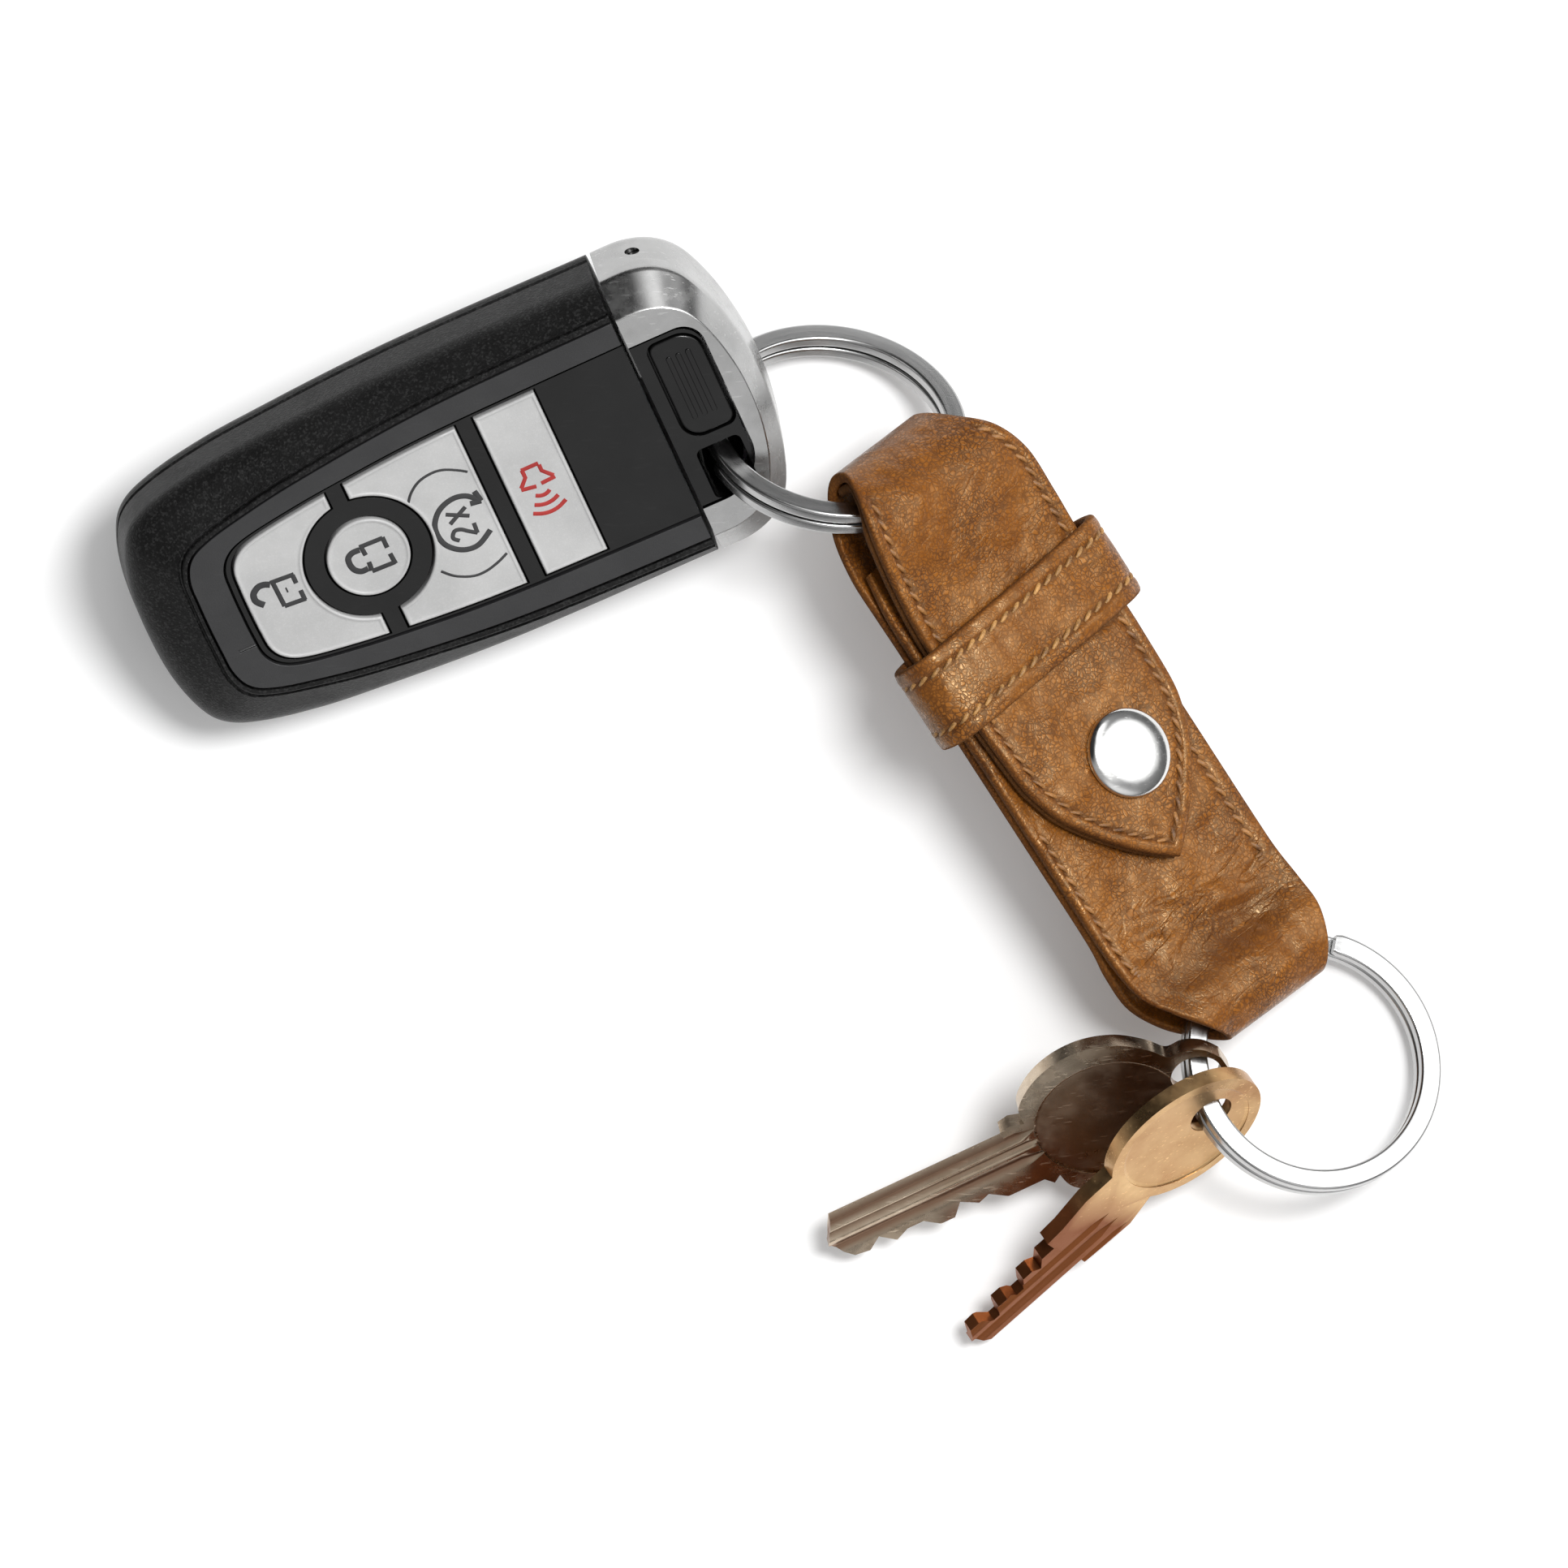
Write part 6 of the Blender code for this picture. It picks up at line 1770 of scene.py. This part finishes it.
def make_key(metal_name, points, size, dish, grooves, tarnish, home):
    """Cut key with eased edges, a ring hole, a sunken bow with a rim, and blade grooves."""
    length, blade, radius, hole = size
    half = KEY_THICKNESS / 2
    key = plain_object(f"{metal_name}_key_metal", slab(key_line(points, length, blade, hole), -half, half))
    bow, dish_radius = key_line([dish[:2]], length, blade, hole)[0], dish[2] * length
    shoulder, floor = BOW_SHOULDER, half - BOW_DEPTH
    cutters = [slab(circle((0, 0), radius, 64), -half - OVERRUN, half + OVERRUN)]
    wall = [(dish_radius, half + OVERRUN), (dish_radius, half - shoulder[1])]
    wall += [(dish_radius - shoulder[0], floor), (0, floor)]
    for side in (1, -1):
        profile = [(0, side * (half + OVERRUN))] + [(r, side * z) for r, z in wall]
        cutters.append(lathe(profile, bow, 64))
    start, end = -length * hole[0] - 2 * OVERRUN, -length * (hole[0] - grooves[0])
    for share, side, wide, deep in grooves[1]:
        y, top, floor = blade * (share - hole[1]), side * half, side * (half - deep * MM)
        cutters.append(milled_groove(start, end, y, wide * MM, top, floor))
    carved(key, *cutters)
    softened(key, KEY_EDGE, 2, 40)
    sunk = key.data.attributes.new("sunk", "FLOAT", "POINT")
    for item, vert in zip(sunk.data, key.data.vertices):
        depth = min(1.0, (half - abs(vert.co.z)) / (0.5 * MM))
        toward_tip = min(1.0, max(0.0, (end - vert.co.x) / length * 10 + 0.5))
        hollow = depth if depth > 0.3 else 0.0
        item.value = max(tarnish[0] * hollow, tarnish[1] * toward_tip)
    name = f"{metal_name}_key"
    shown(key, home, name, f"key_{metal_name}", (name,), sharp=40)


def make_nickel_key():
    blade_top = [point for point in NICKEL_TOP_SHARES if point[0] < NICKEL_BOW_START]
    bow = smooth_path([point for point in NICKEL_TOP_SHARES if point[0] > NICKEL_BOW_START], 6)
    points = blade_top + bow + mirrored(bow) + list(reversed(NICKEL_BITTING_SHARES))
    make_key("nickel", points, NICKEL_SIZE, NICKEL_DISH, NICKEL_GROOVES, NICKEL_STAIN, NICKEL)


def make_brass_key():
    x, y, _ = BRASS_DISH
    half_length, half_height = BRASS_BOW_HALVES
    turns = [radians(BRASS_BOW_ARC / 2 - BRASS_BOW_ARC * i / 72) for i in range(73)]
    bow = [(x + half_length * cos(a), y + half_height * sin(a)) for a in turns]
    points = list(BRASS_BITTING_SHARES) + bow + list(BRASS_FOOT_SHARES)
    make_key("brass", points, BRASS_SIZE, BRASS_DISH, BRASS_GROOVES, BRASS_STAIN, BRASS)


# Solids that stay as the model has them, each with its own finish
CARRIED_OVER = {
    "keypad_rubber": ("keypad_membrane",),
    "board_laminate": ("circuit_board",),
    "bright_steel": tuple(f"tact_switch_{name}" for name in BUTTONS)
    + ("coin_cell", "cell_contact_top", "cell_contact_bottom"),
    "chip_plastic": ("control_chip", "blade_sleeve"),
    "coil_copper": ("antenna_coil",),
    "brushed_head_steel": ("emergency_blade",),
    # The pin gets the painted shade of its hole as its colour
    "dark_steel": ("blade_pin",),
    "snap_nickel": ("snap_stud", "snap_post", "snap_socket"),
}


def finish_carried_over():
    for slot, names in CARRIED_OVER.items():
        for name in names:
            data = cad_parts[name].data
            data.materials.clear()
            data.materials.append(MATERIALS[slot])


# Floor, light and camera

def make_floor():
    mesh = bmesh.new()
    bmesh.ops.create_grid(mesh, x_segments=2, y_segments=2, size=FLOOR_HALF)
    bmesh.ops.translate(mesh, vec=(0, 0, CAD_BOX[0].z - HAIR), verts=mesh.verts)
    floor = plain_object("floor", mesh)
    material, tree, shader, place = finish_of("floor_paper", 0.9)
    tone = ranged(tree, noisy(tree, place, 9.0, 3.0), 0.3, 0.7)
    tree.links.new(mixed(tree, tone, (0.80, 0.80, 0.80), (0.82, 0.82, 0.82)), shader["Base Color"])
    rays = put(tree, "ShaderNodeLightPath").outputs
    seen = calc(tree, "MAXIMUM", rays["Is Camera Ray"], rays["Is Glossy Ray"])
    seen = calc(tree, "MAXIMUM", seen, rays["Is Transmission Ray"])
    shader["Emission Color"].default_value = (1.0, 1.0, 1.0, 1.0)
    tree.links.new(calc(tree, "MULTIPLY", seen, FLOOR_LIFT), shader["Emission Strength"])
    floor.data.materials.append(material)


def make_soft_box():
    """Round lamp at the upper right, aimed at the set."""
    lamp = bpy.data.lights.new("soft_box", "AREA")
    lamp.shape = "DISK"
    lamp.size = SOFT_BOX_SIZE
    lamp.energy = SOFT_BOX_POWER
    obj = linked("soft_box", lamp)
    obj.location = SOFT_BOX_AT
    obj.rotation_euler = (-Vector(SOFT_BOX_AT)).to_track_quat("-Z", "Y").to_euler()


def glow(tree, direction, towards, spread, amount):
    """Soft patch of the studio's tone round a direction, in degrees."""
    heading = Vector(towards).normalized()
    ends = {0: direction, 1: heading}
    near = put(tree, "ShaderNodeVectorMath", ends, operation="DOT_PRODUCT").outputs["Value"]
    return ranged(tree, near, cos(radians(spread)), 1.0, 0.0, amount, soft=True)


# Brighter and darker patches of the studio: direction, spread in degrees and amount
GLOWS = (
    ((0.72, 0.33, 0.61), 24, 2.70),
    ((0.34, 0.20, 0.92), 30, 0.70),
    ((0.36, -0.72, 0.60), 38, 0.62),
    ((0.17, 0.68, 0.71), 16, 1.50),
    ((-0.58, 0.50, 0.64), 46, -0.60),
)


def make_studio():
    """Surroundings that are pale overhead and greyer low down."""
    world = bpy.data.worlds.new("studio")
    bpy.context.scene.world = world
    world.use_nodes = True
    tree = world.node_tree
    tree.nodes.clear()
    direction = put(tree, "ShaderNodeTexCoord").outputs["Generated"]
    height = put(tree, "ShaderNodeSeparateXYZ", {"Vector": direction}).outputs["Z"]
    tone = ranged(tree, height, -0.05, 0.95, 0.12, 0.46, soft=True)
    for towards, spread, amount in GLOWS:
        tone = calc(tree, "ADD", tone, glow(tree, direction, towards, spread, amount))
    tone = calc(tree, "MAXIMUM", tone, DARKEST_TONE)
    shade = put(tree, "ShaderNodeBackground", {"Color": (1, 1, 1, 1), "Strength": tone})
    output = tree.nodes.new("ShaderNodeOutputWorld")
    tree.links.new(shade.outputs[0], output.inputs["Surface"])


def make_camera():
    data = bpy.data.cameras.new("camera")
    data.sensor_width = SENSOR
    data.lens = SENSOR * (VIEW_HEIGHT - VIEW_PLANE_Z) / VIEW_WIDTH
    data.clip_end = 10.0
    camera = linked("camera", data)
    camera.location = (*VIEW_CENTRE, VIEW_HEIGHT)
    bpy.context.scene.camera = camera


def main():
    make_lower_shell()
    make_upper_shell()
    make_bezel()
    make_button_frame()
    for name in BUTTONS:
        make_button(name)
    make_icons()
    make_head_frame()
    make_head_core()
    make_release_button()
    make_ring("upper_ring_wire", UPPER_RING_JOINT, UPPER_RING, "upper_ring", "upper_split_ring")
    joint = LOWER_RING_JOINT - LOWER_RING_LOW_SIDE
    make_ring("lower_ring_wire", joint, LOWER_RING, "lower_ring", "lower_split_ring")
    make_strap()
    make_strap_stitches()
    make_flap_ply("flap_outer_ply", FLAP_TOP, LEATHER, "tan_leather", "flap_tip_leather", True)
    lining_top = FLAP_TOP - LEATHER - PLY_GAP
    make_flap_ply("flap_inner_ply", lining_top, LINING, "leather_lining", "flap_tip_lining", False)
    make_flap_stitches()
    make_keeper()
    make_keeper_stitches()
    make_snap_cap()
    make_nickel_key()
    make_brass_key()
    finish_carried_over()
    make_floor()
    make_soft_box()
    make_studio()
    make_camera()
    bpy.context.scene.view_settings.view_transform = "Standard"


main()
